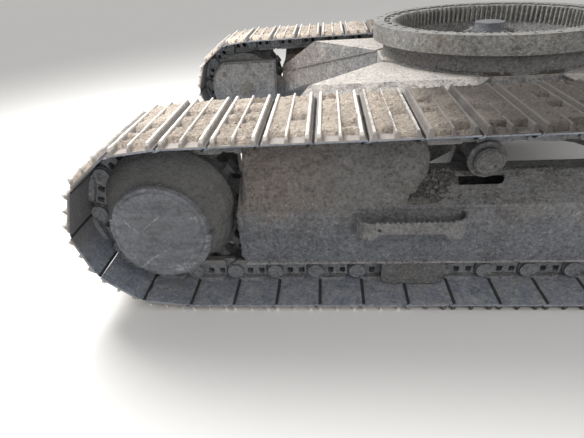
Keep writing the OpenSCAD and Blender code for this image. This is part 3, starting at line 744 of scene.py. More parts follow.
    @staticmethod
    def crust(cells: tuple[int, int], shape: Surface, inwards: Sequence[float]) -> Thing:
        """Lays dried mud on a surface: a grid raised by the heap's height, closed below.

        Args:
            cells: Faces along and across.
            shape: Gives the point of the crust for u and v from 0 to 1.
            inwards: How the rim is drawn into what lies under it.

        Returns:
            The closed crust.
        """
        Bench.only()
        bpy.ops.mesh.primitive_grid_add(x_subdivisions=cells[0], y_subdivisions=cells[1], size=1)
        thing = Bench.added()
        for corner in thing.data.vertices:
            corner.co = shape(corner.co.x + 0.5, corner.co.y + 0.5)
        with Bench.edit(thing):
            bpy.ops.mesh.select_all(action="SELECT")
            bpy.ops.mesh.normals_make_consistent(inside=False)
            Bench.open_edges()
            Bench.extrude(inwards)
            bpy.ops.mesh.edge_face_add()
            Bench.outwards()
        return thing

    @staticmethod
    def bead(path: Sequence[Sequence[float]], radius: float, step: float = 0.009) -> Thing:
        """Lays a rippled weld bead along a path.

        Args:
            path: Corners that the bead runs through.
            radius: Of the bead.
            step: Distance between ripples.

        Returns:
            The bead's mesh.
        """
        marks: list[Vector] = []
        for a, b in zip(path, path[1:]):
            a, b = Vector(a), Vector(b)
            count = max(1, round((b - a).length / step))
            marks += [a.lerp(b, k / count) for k in range(count)]
        marks.append(Vector(path[-1]))
        Bench.only()
        bpy.ops.curve.primitive_bezier_curve_add()
        thing = bpy.context.active_object
        thing.location = (0, 0, 0)
        curve = thing.data
        curve.splines.clear()
        line = curve.splines.new("POLY")
        line.points.add(len(marks) - 1)
        for k, (point, mark) in enumerate(zip(line.points, marks)):
            point.co = (*mark, 1)
            point.radius = 1.0 + 0.18 * math.sin(k * 2.1) + 0.25 * noise.noise(mark * 90)
        curve.bevel_depth, curve.bevel_resolution = radius, 1
        curve.use_fill_caps = True
        bpy.ops.object.convert(target="MESH")
        return bpy.context.active_object

    @staticmethod
    def roughen(thing: Thing, amount: float, size: float) -> Thing:
        """Moves points in and out along their normals by smooth noise, as dents and lumps do."""
        moves = [(c, c.normal * amount * noise.noise(c.co / size)) for c in thing.data.vertices]
        for corner, move in moves:
            corner.co += move
        return thing

    @staticmethod
    def mark(thing: Thing, name: str, amount: Callable[[Vector], float]) -> None:
        """Writes a number for each point, such as its wear, that the finishes read."""
        layer = thing.data.attributes.new(name, "FLOAT", "POINT")
        for corner, value in zip(thing.data.vertices, layer.data):
            value.value = amount(corner.co)

    @staticmethod
    def hand_over(name: str, thing: Thing, finish: Finish, slot: Slot, body: str = ROOT,
                  angle: float = SHARP) -> None:
        """Names and dresses a finished piece and hands it to the frame.

        Args:
            name: The piece's name.
            thing: The piece, in place.
            finish: Its finish.
            slot: The record's slot; not used.
            body: The body that it moves with.
            angle: Edges sharper than this stay sharp.
        """
        thing.name = thing.data.name = name
        thing.data.materials.clear()
        thing.data.materials.append(finish.material())
        Bench.only(thing)
        bpy.ops.object.shade_smooth_by_angle(angle=math.radians(angle))
        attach(thing, body)
        LOG.info("%s: %d faces on %s", name, len(thing.data.polygons), body)

    @staticmethod
    def both_sides(name: str, pattern: Thing, finish: Finish, slot: Slot, angle: float = SHARP,
                   node: str = "") -> None:
        """Copies a pattern to both tracks and deletes it.

        Args:
            name: The pieces' name without the side.
            pattern: Modelled from the sprocket's axle and the chain's middle.
            finish: Its finish.
            slot: Its slot; not used.
            angle: Edges sharper than this stay sharp.
            node: The node that it stands for, without the side, or nothing.
        """
        for side in Side:
            piece = Bench.copy(pattern, side.matrix())
            Bench.hand_over(f"{name}_{side.value}", piece, finish, slot, angle=angle)
            if node:
                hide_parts(f"{node}_{side.value}")
        Bench.drop(pattern)


# Chain and track


@dataclass
class Chain:
    """The loop of pins round the sprocket, the carrier rollers, the idler and the bottom rollers."""

    pitch: float = 0.190
    links: int = 45
    phase: float = 0.66
    seat: float = 0.045
    rail: float = 0.056
    teeth: int = 21
    carrier_x: Pair = (1.313, 2.290)
    carrier_r: float = 0.060
    roller_r: float = 0.078
    roller_end: float = 0.432
    idler_r: float = 0.249
    ground_to_pin: float = 0.081
    lift: float = 0.002
    rise: float = 0.014
    gap: float = 0.0003
    frame_end: float = 0.415
    wheels: list[tuple[float, float, float]] = field(default_factory=list)
    pins: list[Vector] = field(default_factory=list)

    def __post_init__(self) -> None:
        """Lays the belt round its six wheels and sets the pins along it."""
        low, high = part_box("idler_right")
        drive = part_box("final_drive_right")
        self.axle_gap = (low.x + high.x) / 2 - (drive[0].x + drive[1].x) / 2
        self.idler_z = (low.z + high.z) / 2
        circle = self.pitch / 2 / math.sin(math.tau / self.teeth)
        self.sprocket_z = self.ground_to_pin + self.lift + circle
        over = self.rail + self.gap
        self.carrier_z = self.sprocket_z + circle + self.rise - self.carrier_r - over
        self.roller_z = self.ground_to_pin + self.rail + self.roller_r
        lap = self.pitch * 0.55
        self.wheels = [
            (0.0, self.sprocket_z, circle),
            (self.carrier_x[0] - lap, self.carrier_z, self.carrier_r + over),
            (self.carrier_x[1] + lap, self.carrier_z, self.carrier_r + over),
            (self.axle_gap, self.idler_z, math.hypot(self.idler_r + over, self.pitch / 2)),
            (self.axle_gap - self.roller_end + lap, self.roller_z, self.roller_r + over),
            (self.roller_end - lap, self.roller_z, self.roller_r + over)]
        self.pins = [self.along((i + self.phase) * self.pitch) for i in range(self.links)]

    def leaves(self, i: int) -> float:
        """Direction, in radians, of the belt's outer side where it leaves wheel i."""
        x0, z0, r0 = self.wheels[i % 6]
        x1, z1, r1 = self.wheels[(i + 1) % 6]
        return math.atan2(z1 - z0, x1 - x0) + math.acos((r0 - r1) / math.hypot(x1 - x0, z1 - z0))

    def along(self, way: float) -> Vector:
        """The point at a distance along the belt from the start of the sprocket's wrap."""
        for i in range(6):
            x, z, r = self.wheels[i]
            x1, z1, r1 = self.wheels[(i + 1) % 6]
            step = 2 * math.asin(self.pitch / 2 / r)
            wrap = self.pitch * ((self.leaves(i - 1) - self.leaves(i)) % math.tau) / step
            if way <= wrap:
                angle = self.leaves(i - 1) - way / self.pitch * step
                return Vector((x + r * math.cos(angle), 0, z + r * math.sin(angle)))
            way -= wrap
            run = math.sqrt(math.hypot(x1 - x, z1 - z) ** 2 - (r - r1) ** 2)
            if way <= run:
                c, s = math.cos(self.leaves(i)), math.sin(self.leaves(i))
                return Vector((x + r * c + way * s, 0, z + r * s - way * c))
            way -= run
        return self.along(0.0)

    def link_matrix(self, i: int) -> Matrix:
        """Places what is drawn about a link's middle, X along the chain and Z outwards."""
        a, b = self.pins[i % self.links], self.pins[(i + 1) % self.links]
        ahead = (b - a).normalized()
        out = Vector((-ahead.z, 0, ahead.x))
        facing = Matrix((ahead, Vector((0, 1, 0)), out)).transposed().to_4x4()
        return Matrix.Translation((a + b) / 2) @ facing


@dataclass
class Track:
    """Shoes with three grousers, forged links, bushes, pins, bolts and the mud between them."""

    chain: Chain
    half: float = 0.275
    plate: float = 0.010
    bar: float = 0.026
    step: float = 0.074
    bolt_row: float = 0.062
    rail_in: float = 0.044
    rail_out: float = 0.080
    rear_lip: float = -0.082
    front_lip: float = 0.0935
    curl: Pair = (0.0452, 0.0412)
    bars: Rows = ((0.0105, 0.0058), (0.0080, 0.0040), (0.0105, 0.0058))
    boss: float = 0.041
    pad: float = 0.037
    upper: float = 0.68
    hung: float = 0.4
    pits: Rows = ((-0.062, 0.45), (0.062, 0.35), (-0.240, 0.40), (-0.15, 0.10), (0.2, 0.15))

    def shoe(self) -> Thing:
        """Models one shoe about its link's middle: a lipped plate with three bars."""
        seat, half = self.chain.seat, self.half
        top, tip = seat + self.plate, seat + self.plate + self.bar
        hinge = -self.chain.pitch / 2
        outline = [(self.rear_lip, seat), (self.front_lip, seat + 0.0006), (self.front_lip, top - 0.001)]
        for u, (foot, crown) in zip((self.step, 0.0, -self.step), self.bars):
            outline += [(u + foot, top), (u + crown, tip - 0.002), (u + crown - 0.002, tip),
                        (u - crown + 0.002, tip), (u - crown, tip - 0.002), (u - foot, top)]
        outline.append((hinge + 0.0012, top - 0.001))
        outline += arc(self.curl[0], (90, 100, 112, 124), hinge)
        outline += arc(self.curl[1], (124, 112, 100, 88), hinge)
        shoe = Bench.profile(outline, -half, half)
        with Bench.edit(shoe):
            for k in range(1, 12):
                Bench.cut((0, -half + k * half / 6, 0), (0, 1, 0))
            Bench.edges(shoe, lambda mid, way: abs(abs(mid.y) - half) < 1e-4 and mid.z < top + 0.004)
            Bench.bevel(0.0025, 1)
        for corner in shoe.data.vertices:
            if corner.co.z > top + 0.003 and abs(corner.co.y) > half - 0.002:
                corner.co.y -= math.copysign(0.35 * (corner.co.z - top), corner.co.y)
        Bench.mark(shoe, "outer", lambda at: float(at.z > top - 0.0015))
        # Joint marks: where dirt and painted shade darken the hinge curl and the plate's ends.
        Bench.mark(shoe, "joint_dirt_and_shade", lambda at: float(
            at.x < -0.105 or (at.z > seat + 0.008 and abs(at.x) > 0.090)))
        Bench.mark(shoe, "wear", lambda at: max(0.0, (at.z - top - 0.018) / (self.bar - 0.019))
                   + (0.15 if abs(at.y) > half - 0.004 and at.z > seat + 0.004 else 0.0))
        return shoe

    def link(self) -> Thing:
        """Models one forged link on the near rail: pin end outside, bush end inside, bolt windows."""
        seat, rail, pin = self.chain.seat, self.chain.rail, self.chain.pitch / 2
        outer, middle = -self.rail_out, -(self.rail_in + self.rail_out) / 2
        side = [(-0.078, seat - 0.006), (-0.060, seat), (0.026, seat), (0.040, seat - 0.008),
                (0.049, seat - 0.024), (0.050, -rail + 0.012), (0.042, -rail), (-0.084, -rail),
                *arc(self.boss, (250, 228, 205, 180, 155, 132, 110), -pin)]
        halves = [Bench.profile([(-u, v) for u, v in side], outer, middle),
                  Bench.profile(side, middle - 0.002, -self.rail_in)]
        for half in halves:
            for u in (-0.027, 0.027):
                window = [(u - 0.013, -0.012), (u + 0.013, -0.012), (u + 0.013, 0.012),
                          (u + 0.006, 0.019), (u - 0.006, 0.019), (u - 0.013, 0.012)]
                Bench.carve(half, Bench.profile(window, -0.1, -0.02))
        pad = Bench.profile(arc(self.pad, range(0, 360, 20), pin), outer - 0.016, middle - 0.006)
        foot = Bench.profile([(-0.040, seat - 0.022), (0.088, seat - 0.022), (0.088, seat - 0.001),
                              (-0.040, seat - 0.001)], outer - 0.030, middle - 0.006)
        with Bench.edit(foot):
            Bench.edges(foot, lambda mid, way: abs(way.z) > 0.9 and mid.y < outer - 0.029)
            Bench.bevel(0.024, 4)
        link = Bench.join([*halves, pad, foot])
        with Bench.edit(link):
            Bench.edges(link, lambda mid, way: abs(way.y) < 0.1 and (
                abs(mid.y - outer) < 1e-4 or abs(mid.y + self.rail_in) < 1e-4))
            Bench.bevel(0.003, 1)
        Bench.mark(link, "wear", lambda at: float(at.z < -rail + 0.004))
        return link

    def joint(self) -> Thing:
        """Models the bush with its pin's ends, across the chain."""
        reach = self.rail_out + 0.017
        half = [(0.029, 0.060), (0.019, 0.060), (0.019, reach - 0.003), (0.014, reach - 0.003),
                (0.012, reach), (0, reach)]
        points = [(r, -z) for r, z in reversed(half)] + half
        joint = Bench.put(Bench.turned(points, 14), spin(90, "X"))
        Bench.mark(joint, "wear", lambda at: 0.5 if abs(at.y) < 0.04 else 0.0)
        return joint

    def fill(self, middle: Vector) -> float:
        """How full of mud the bays of the shoe at this place are."""
        return 0.84 + 0.34 * clamp((middle.x - 0.80) / 0.35) if middle.z > self.upper else 0.78

    def inside(self, thing: Thing) -> Thing:
        """Wears off what stands out past the track's box."""
        back = Side.RIGHT.matrix().inverted()
        low, high = (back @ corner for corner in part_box("track_right"))
        for corner in thing.data.vertices:
            corner.co = [clamp(value, a, b) for a, b, value in zip(low, high, corner.co)]
        return thing

    def mud(self, i: int, place: Matrix) -> Thing:
        """Lays the dried mud on shoe i, with pits where clods have dropped out."""
        full = self.fill(place.to_translation())
        floor = self.chain.seat + self.plate - 0.003

        def shape(u: float, v: float) -> Vector:
            """Height of the mud over the plate, lower at the rim and in pits."""
            x, y = -0.083 + 0.169 * u, -self.half * 0.985 + 1.97 * self.half * v
            at = Vector((x, y, i * 0.37))
            rough = noise.noise(at * 22) * 0.30 + noise.noise(at * 60) * 0.30 + noise.noise(at * 130) * 0.22
            pit = 0.0
            for row, chance in self.pits:
                if abs(x) <= 0.074 and scatter(i, round((x + 0.037) / 0.074), row * 10) < chance:
                    pit = max(pit, 1 - max(0.0, abs(y - row) - 0.02) / 0.012)
            level = max(0.0, full + rough - 1.25 * pit * (1.25 - full * 0.5))
            return Vector((x, y, floor + self.bar * level * min(taper(u, 12), taper(v, 16, 0.1))))

        return Bench.put(Bench.crust((19, 44), shape, (0, 0, -0.003)), place)

    def laid(self, shoe: Thing, place: Matrix) -> Thing:
        """Lays one shoe on the chain, dented, and less worn where mud fills it or it hangs."""
        laid = Bench.roughen(Bench.copy(shoe, place), 0.0022, 0.045)
        for corner in laid.data.vertices:
            corner.co.y = clamp(corner.co.y, -self.half, self.half)
        middle = place.to_translation()
        rubbed = 1.0 - 0.88 * clamp((self.fill(middle) - 0.84) / 0.25)
        if middle.x > 1.0 and middle.z < self.upper:
            rubbed = self.hung
        for value in laid.data.attributes["wear"].data:
            value.value *= rubbed
        return laid

    def build(self) -> None:
        """Builds the shoes, chain and mud of both tracks."""
        places = [self.chain.link_matrix(i) for i in range(self.chain.links)]
        shoe = self.shoe()
        shoes = Bench.join([self.laid(shoe, place) for place in places])
        Bench.drop(shoe)
        mirror = Matrix.Diagonal((1, -1, 1, 1))
        links = Bench.array(self.link(), [m for place in places for m in (place, place @ mirror)])
        joints = Bench.array(self.joint(), [Matrix.Translation(pin) for pin in self.chain.pins])
        seat = self.chain.seat + self.plate - 0.001
        bolts = Bench.array(Bench.stud(0.0165, 0.011), [
            place @ shift(u * self.step / 2, w * self.bolt_row, seat)
            for place in places for u in HANDS for w in HANDS])
        muds = Bench.join([self.mud(i, place) for i, place in enumerate(places)])
        Bench.both_sides("track_shoes", self.inside(shoes), Finishes.SHOE, Slot.SHOES, 25, "track")
        for name, piece, finish in (("track_links", links, Finishes.LINK),
                                    ("track_pins", joints, Finishes.LINK),
                                    ("shoe_bolts", bolts, Finishes.BOLT)):
            Bench.both_sides(name, piece, finish, Slot.SHOES)
        Bench.both_sides("track_mud", self.inside(muds), Finishes.MUD, Slot.SHOES, 60)


# Side frames and drives


@dataclass
class FrameMud:
    """Mud packed on the side frame's roof and shoulders up to the chain, granules and clods on it."""

    chain: Chain
    start: float = 0.334
    roof: float = 0.552
    roof_edge: float = 0.045
    fall: float = 0.8
    outer: float = 0.163
    plate: float = 0.1602
    under: float = -0.003
    slot: Pair = (0.125, 0.013)
    foot: Rows = ((0.0, 0.1615, 0.452), (0.4, 0.100, 0.505), (0.7, 0.050, 0.546), (1.0, 0.015, 0.549))
    crest: Rows = (
        (0.0, 0.1620, 0.455), (0.14, 0.154, 0.515), (0.3, 0.140, 0.585), (0.45, 0.124, 0.655),
        (0.6, 0.107, 0.722), (0.7, 0.096, 0.752), (0.78, 0.087, 0.745), (0.88, 0.086, 0.66),
        (1.0, 0.050, 0.562))

    def ground(self, y: float) -> float:
        """Height of the roof, or of the shoulder that slopes down from its edge."""
        return self.roof - self.fall * max(0.0, y - self.roof_edge)

    def raised(self, x: float, y: float, rise: float) -> Vector:
        """The point that stands a height off the outer shoulder."""
        return Vector((x, -y - rise * 0.62, self.ground(y) + rise * 0.78))

    def packed(self, end: float, hand: int, full: float) -> Thing:
        """Packs mud on one shoulder from the rear end on.

        Args:
            end: Where it ends, ahead of the sprocket's axle.
            hand: -1 for the outer shoulder and 1 for the inner one.
            full: How much of the way up to the shoes it reaches.

        Returns:
            The crust.
        """
        def shape(u: float, v: float) -> Vector:
            """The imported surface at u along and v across."""
            last = end - 0.085 * max(0.0, 1 - v / 0.65)
            x = self.start + (last - self.start) * u
            foot, crest = between(self.foot, v), between(self.crest, v)
            ends = min(1.0, u * 30 + 0.05) * min(1.0, (1 - u) * (last - self.start) / 0.030) ** 0.5
            part = full * ends * min(1.0, 0.90 + 0.10 * noise.noise(Vector((x * 5, hand, 3))))
            y, z = (a + (b - a) * part for a, b in zip(foot, crest))
            spot = Vector((x, y * hand, z))
            out = (lumps(spot, 0.06) * 0.011 + noise.noise(spot * 48) * 0.006) * taper(v, 9) * ends
            ragged = 0.012 * lumps(Vector((z * 3, y, 7)), 0.08) if u > 0.9 else 0.0
            return Vector((x + ragged, hand * min(self.outer, y + out * 0.8), min(0.757, z + out * 0.35)))

        return Bench.crust((max(20, round((end - self.start) / 0.011)), 44), shape, (0, 0, -0.006))

    def granules(self) -> Thing:
        """Heaps loose granules on the outer shoulder beside the rear carrier roller."""
        def shape(u: float, v: float) -> Vector:
            """The heap's surface."""
            x, y = 1.00 + 0.225 * u, 0.040 + 0.118 * v
            at = Vector((x, y, 0.3))
            mound = max(0.0, 1 - max(0.0, x - 1.03) / (0.21 - 0.10 * v)) ** 0.8
            loose = grains(at, 120) * 0.014 + grains(at, 62) * 0.010
            rim = min(taper(u, 9), taper(v, 7))
            point = self.raised(x, y, (0.026 * mound + loose * (0.5 + mound)) * rim - 0.004)
            point.y = max(-self.outer, point.y)
            return point

        return Bench.crust((80, 40), shape, (0, 0.004, -0.006))

    def skin(self) -> Thing:
        """Thin crusts scattered over the rest of the outer shoulder and the roof, clear of the slots."""
        start, end = 1.18, self.chain.axle_gap - self.chain.frame_end
        (_, b), (c, d) = ((x - self.slot[1] - self.slot[0], x - self.slot[1] + self.slot[0])
                          for x in self.chain.carrier_x)
        beside, whole = ((0.006, 0.036), (0.124, 0.158)), ((0.012, 0.158),)
        patches = [(x0, x1, *row) for x0, x1, rows in (
            (start, b, beside), (b, c, whole), (c, d, beside), (d, end, whole)) for row in rows]
        made = []
        for x0, x1, y0, y1 in patches:
            def shape(u: float, v: float) -> Vector:
                """The thin crust's surface, under the plate wherever it has flaked off."""
                x, y = x0 + (x1 - x0) * u, y0 + (y1 - y0) * v
                at = Vector((x, y, 1.3))
                near_edge = max(0.0, 1 - abs(y - 0.034) * 50)
                height = lumps(at, 0.07) * 0.006 + grains(at, 80) * 0.006 + near_edge * 0.007 - 0.0030
                return self.raised(x, y, max(height, self.under) * taper(v, 10, 0.1))

            cells = max(12, round((x1 - x0) / 0.010)), max(4, round((y1 - y0) / 0.009))
            made.append(Bench.crust(cells, shape, (0, 0.003, -0.006)))
        return Bench.join(made)

    def side_crust(self) -> Thing:
        """Cakes flaking mud on the outer side plate, thickest towards the rear, but not on the step."""
        def shape(u: float, v: float) -> Vector:
            """The flakes' surface, under the plate between them."""
            x, z = 0.325 + 1.10 * u, 0.182 + 0.266 * v
            at = Vector((x, 0.7, z))
            height = (lumps(at, 0.12) * 0.016 + lumps(at, 0.04) * 0.009) * (1.0 - 0.55 * u)
            height += grains(at, 70) * 0.006 - 0.0012
            rise = max(height, self.under) * min(taper(u, 20), taper(v, 10))
            if 0.80 < x < 1.36 and 0.30 < z < 0.44:
                rise = self.under
            return Vector((x, -self.plate - rise, z))

        return Bench.crust((150, 40), shape, (0, 0.006, 0))

    def rear_edge(self) -> Thing:
        """Lets mud hang over the rear edge of the outer side plate."""
        def shape(u: float, v: float) -> Vector:
            """A rough roll round the plate's edge."""
            z = 0.200 + 0.262 * u
            angle = math.radians(-100 + 200 * v)
            thick = (0.006 + 0.012 * max(0.0, lumps(Vector((0.3, z, 9.0))) + 0.35)) * taper(u, 12, 0.05)
            r = 0.003 + thick * (1 + 0.3 * lumps(Vector((v * 0.05, z, 2.0)), 0.02))
            return Vector((0.3245 - r * 1.1 * math.cos(angle), -0.153 + r * math.sin(angle), z))

        return Bench.crust((48, 10), shape, (0.012, 0, 0))

    def clods(self) -> Thing:
        """Scatters small stones and clods along the roof's edge, the shoulder and the heap."""
        Bench.only()
        bpy.ops.mesh.primitive_ico_sphere_add(subdivisions=1, radius=1.0)
        pattern = Bench.roughen(Bench.added(), 0.7, 1.3)
        places = []
        for k in range(190):
            far, across = scatter(k, 5.1), scatter(k, 8.4)
            x, y = (0.95 + 1.85 * far, 0.030 + 0.120 * across ** 2) if k > 90 else (
                1.0 + 0.24 * far, 0.030 + 0.120 * across)
            if any(abs(x - roller + self.slot[1]) < self.slot[0] and 0.045 < y < 0.108
                   for roller in self.chain.carrier_x):
                continue
            size = 0.0035 + 0.0065 * scatter(k, 1.5) ** 2
            heap = 0.020 * max(0.0, 1 - ((x - 1.10) / 0.13) ** 2)
            place = shift(x, -y - heap * 0.5, self.ground(y) + size * 0.45 + heap * 0.6)
            tumbled = Matrix.Rotation(k * 1.3, 4, "Z") @ Matrix.Rotation(k * 0.7, 4, "X")
            places.append(place @ tumbled @ Matrix.Diagonal((size * 1.3, size, size * 0.8, 1)))
        return Bench.array(pattern, places)

    def build(self) -> None:
        """Lays all the mud on both side frames."""
        for name, piece, finish, angle in (
                ("roof_mud_outer", self.packed(1.105, -1, 1.0), Finishes.CLOD, 70),
                ("roof_mud_inner", self.packed(0.95, 1, 0.45), Finishes.CLOD, 70),
                ("shoulder_granules", self.granules(), Finishes.GRAVEL, 50),
                ("side_mud", self.side_crust(), Finishes.CLOD, 60),
                ("edge_mud", self.rear_edge(), Finishes.CLOD, 70),
                ("shoulder_crust", self.skin(), Finishes.CLOD, 60),
                ("clods", self.clods(), Finishes.CLOD, 30)):
            Bench.both_sides(name, piece, finish, Slot.PAINT, angle)


@dataclass
class FrameTrim:
    """Weld beads, the rubbed lower lip, the steps' filling and the near-black disc that paints the shade of
    each step's hole, on a side frame.
    """

    chain: Chain
    half: float = 0.160
    skirt: float = 0.172
    crease: float = 0.460
    start: float = 0.322
    step_x: float = 0.614
    step_len: float = 0.440
    step_out: float = 0.080
    step_z: float = 0.349
    step_h: float = 0.084
    pocket: float = 0.385
    hole: Pair = (-0.13, 0.047)
    cuts: int = 60

    def __post_init__(self) -> None:
        """Finds the middles of the two steps."""
        self.steps = [self.chain.axle_gap / 2 + hand * self.step_x for hand in HANDS]

    def lips(self) -> Thing:
        """Models the rubbed lip along both lower edges."""
        start, end = self.start + 0.002, self.chain.axle_gap - self.chain.frame_end
        low, high = self.skirt + 0.001, self.skirt + 0.015
        made = []
        for hand in HANDS:
            y = hand * (self.half - 0.0005)
            corners = [(start, low), (end, low), (end, high), (start, high)]
            lip = Bench.profile(corners, y, y + hand * 0.0045)
            with Bench.edit(lip):
                for k in range(1, self.cuts):
                    Bench.cut((self.start + (end - self.start) * k / self.cuts, 0, 0), (1, 0, 0))
                Bench.edges(lip, lambda mid, way: abs(way.x) > 0.9 and abs(mid.y) > self.half + 0.002)
                Bench.bevel(0.0025, 2)
            made.append(Bench.roughen(lip, 0.0022, 0.06))
        return Bench.join(made)

    def welds(self) -> Thing:
        """Lays upright beads at the steps' feet and the rear edges."""
        feet = self.step_z + 0.002, self.step_z + self.step_h - 0.002
        edge = self.skirt + 0.02, self.crease - 0.004
        seams = [(x + end * (self.step_len / 2 + off), -self.half - 0.001, feet, radius, 0.009)
                 for x in self.steps for end in HANDS for off, radius in ((0.002, 0.0055), (-0.012, 0.004))]
        seams += [(self.start + 0.003, hand * (self.half + 0.0005), edge, 0.0035, 0.012) for hand in HANDS]
        return Bench.join([Bench.bead([(x, y, z) for z in heights], radius, step)
                           for x, y, heights, radius, step in seams])

    def step_mud(self) -> Thing:
        """Fills the pocket behind each step with crumbled dirt, higher at its front end."""
        made = []
        for middle in self.steps:
            def shape(u: float, v: float) -> Vector:
                """The dirt's surface in the pocket."""
                x = middle + (u - 0.5) * (self.step_len - 0.036)
                round_off = 1 - max(0.0, abs(u - 0.5) * 2 - 0.72) / 0.28 * 0.55
                y = -self.half + 0.004 - v * (self.step_out - 0.010) * round_off
                at = Vector((x, y, 2.5))
                rise = self.pocket + 0.030 * u + lumps(at, 0.04) * 0.010 + grains(at, 90) * 0.007
                return Vector((x, y, rise - 0.012 * math.sin(v * math.pi)))

            made.append(Bench.crust((60, 14), shape, (0, 0, -0.025)))
        return Bench.join(made)

    def dark_hole_discs(self) -> Thing:
        """Models the rimmed hole near the rear end of each step's plate as a closed disc, finished
        near-black as painted shade for the opening.
        """
        rim = Bench.turned([(0.0, 0.0004), (0.0042, 0.0004), (0.0048, 0.0018), (0.0070, 0.0016),
                            (0.0078, 0.0), (0.0078, -0.001), (0.0, -0.001)], 14)
        y, (ahead, up) = -self.half - self.step_out, self.hole
        return Bench.array(rim, [shift(x + ahead, y, self.step_z + up) @ spin(90, "X") for x in self.steps])

    def build(self) -> None:
        """Trims both side frames."""
        for name, piece, finish, angle in (
                ("frame_lips", self.lips(), Finishes.PAINT, SHARP),
                ("frame_welds", self.welds(), Finishes.PAINT, 60),
                ("step_dirt", self.step_mud(), Finishes.CLOD, 60),
                # The steps' hole discs are near-black painted shade.
                ("step_hole_shade_discs", self.dark_hole_discs(), Finishes.SEAL_AND_HOLE_SHADE, SHARP)):
            Bench.both_sides(name, piece, finish, Slot.PAINT, angle)


@dataclass
class DriveTrim:
    """Mud and bolts on the final drive, sprocket and motor cover."""

    chain: Chain
    face: float = -0.245
    cover_r: float = 0.206
    rings: Rows = ((0.218, -0.109, 90), (0.222, 0.0325, -90))
    cover_bolts: int = 24
    crust_r: float = 0.187
    collar_r: float = 0.2035
    dome: float = 0.2475
    hatch_x: float = 0.02
    hatch_bolts: Pair = (0.042, 0.255)
    dome_bolts: Rows = ((0.235, 0.17), (0.235, -0.17), (0.05, 0.175), (0.05, -0.175), (-0.15, 0.13),
                        (-0.15, -0.13), (-0.225, 0.0))

    def collar(self) -> Thing:
        """Cakes mud round the housing, from the cover's back out to the shoes."""
        def shape(u: float, v: float) -> Vector:
            """The caked cone at angle u and depth v, thickest above the drive."""
            angle = math.radians(-62 + 262 * u)
            top = max(0.0, math.sin(angle)) ** 0.7
            front = 0.0 if angle > math.radians(90) else max(0.0, math.cos(angle))
            crown, back = 0.222 + 0.052 * top + 0.022 * front, 0.252 + 0.064 * top + 0.030 * front
            path = ((0.0, 0.2045, -0.228 + 0.018 * (1 - top)), (0.18, 0.211, -0.205),
                    (0.62, crown + 0.012, -0.140), (0.86, back, -0.098), (0.93, back - 0.004, -0.088),
                    (1.0, 0.236, -0.088))
            r, y = between(path, v)
            at = polar(angle, r, y)
            ends = taper(u, 14)
            if v < 0.95:
                r = self.collar_r + (r - self.collar_r) * (0.12 + 0.88 * ends)
            smear = lumps(Vector((angle * 0.06, y * 1.3, 0.4))) * 0.006
            r += (lumps(at, 0.07) * 0.004 + smear) * ends * min(1.0, v * 6) * (1 if v < 0.9 else 0.3)
            return polar(angle, r, y, self.chain.sprocket_z)

        return Bench.crust((170, 26), shape, (0, 0.004, 0))

    def apron(self) -> Thing:
        """Hangs mud round the cover's rear and lower rim, flush with its face."""
        face, rim = self.face, self.cover_r

        def shape(u: float, v: float) -> Vector:
            """The roll of mud at angle u, from the face over the rim to the drum."""
            angle = math.radians(160 + 196 * u)
            low = max(0.0, -math.sin(angle - 0.25)) ** 0.7
            path = ((0.0, rim - 0.022, face + 0.001), (0.2, rim - 0.010, face - 0.003 - 0.002 * low),
                    (0.45, rim + 0.022 * low, face + 0.003), (0.7, rim + 0.003 + 0.020 * low, face + 0.035),
                    (1.0, rim - 0.0025, face + 0.110))
            r, y = between(path, v)
            ends = taper(u, 12) * min(1.0, v * 6 + 0.2)
            r += (lumps(polar(angle, r, y)) * 0.005 - 0.002) * ends
            y = face + 0.002 + (y - face - 0.002) * (ends if y < face + 0.002 else 1.0)
            return polar(angle, r, y, self.chain.sprocket_z)

        return Bench.crust((120, 16), shape, (0, 0.004, 0))

    def bolts(self) -> Thing:
        """Stands the cover's ring of bolts and the sprocket's bolts."""
        turns = angles(self.cover_bolts), angles(self.chain.teeth, 0.0)
        return Bench.array(Bench.stud(0.0115, 0.009), [
            Matrix.Translation(polar(angle, radius, y, self.chain.sprocket_z)) @ spin(facing, "X")
            for (radius, y, facing), ring in zip(self.rings, turns) for angle in ring])

    def face_crust(self) -> Thing:
        """Smears a thin uneven crust over the cover's face, thicker towards its upper rim."""
        def shape(u: float, v: float) -> Vector:
            """The smear, sunk where the iron shows."""
            x, w = (u - 0.5) * 2, (v - 0.5) * 2
            x, w = x * math.sqrt(1 - w * w / 2), w * math.sqrt(1 - x * x / 2)
            r = math.hypot(x, w)
            at = Vector((x * 0.18, 0.4, w * 0.18))
            ring = math.exp(-((r - 0.93) / 0.07) ** 2) * 0.0022
            dent = math.exp(-((x - 0.25) ** 2 + (w + 0.1) ** 2) / 0.25) * 0.0014
            rise = 0.0016 + lumps(at, 0.06) * 0.0016 + ring - dent + grains(at, 70) * 0.0012
            return Vector((x * self.crust_r, self.face - (rise if r <= 0.985 else 0.0),
                           self.chain.sprocket_z + w * self.crust_r))

        return Bench.crust((72, 72), shape, (0, 0.002, 0))

    def motor_bolts(self) -> Thing:
        """Bolts the motor cover's dome and adds its round inspection plate."""
        z, inward = self.chain.sprocket_z, spin(-90, "X")
        places = [shift(x, self.dome, z + dz) @ inward for x, dz in self.dome_bolts]
        places += [shift(self.hatch_x, 0, 0) @ Matrix.Translation(polar(angle, *self.hatch_bolts, z))
                   @ inward @ Matrix.Scale(0.6, 4) for angle in angles(4)]
        plate = Bench.turned([(0, 0.008), (0.052, 0.008), (0.058, 0.005), (0.058, -0.001), (0, -0.001)], 28)
        return Bench.join([Bench.array(Bench.stud(0.013, 0.009), places),
                           Bench.put(plate, shift(self.hatch_x, self.dome, z) @ inward)])

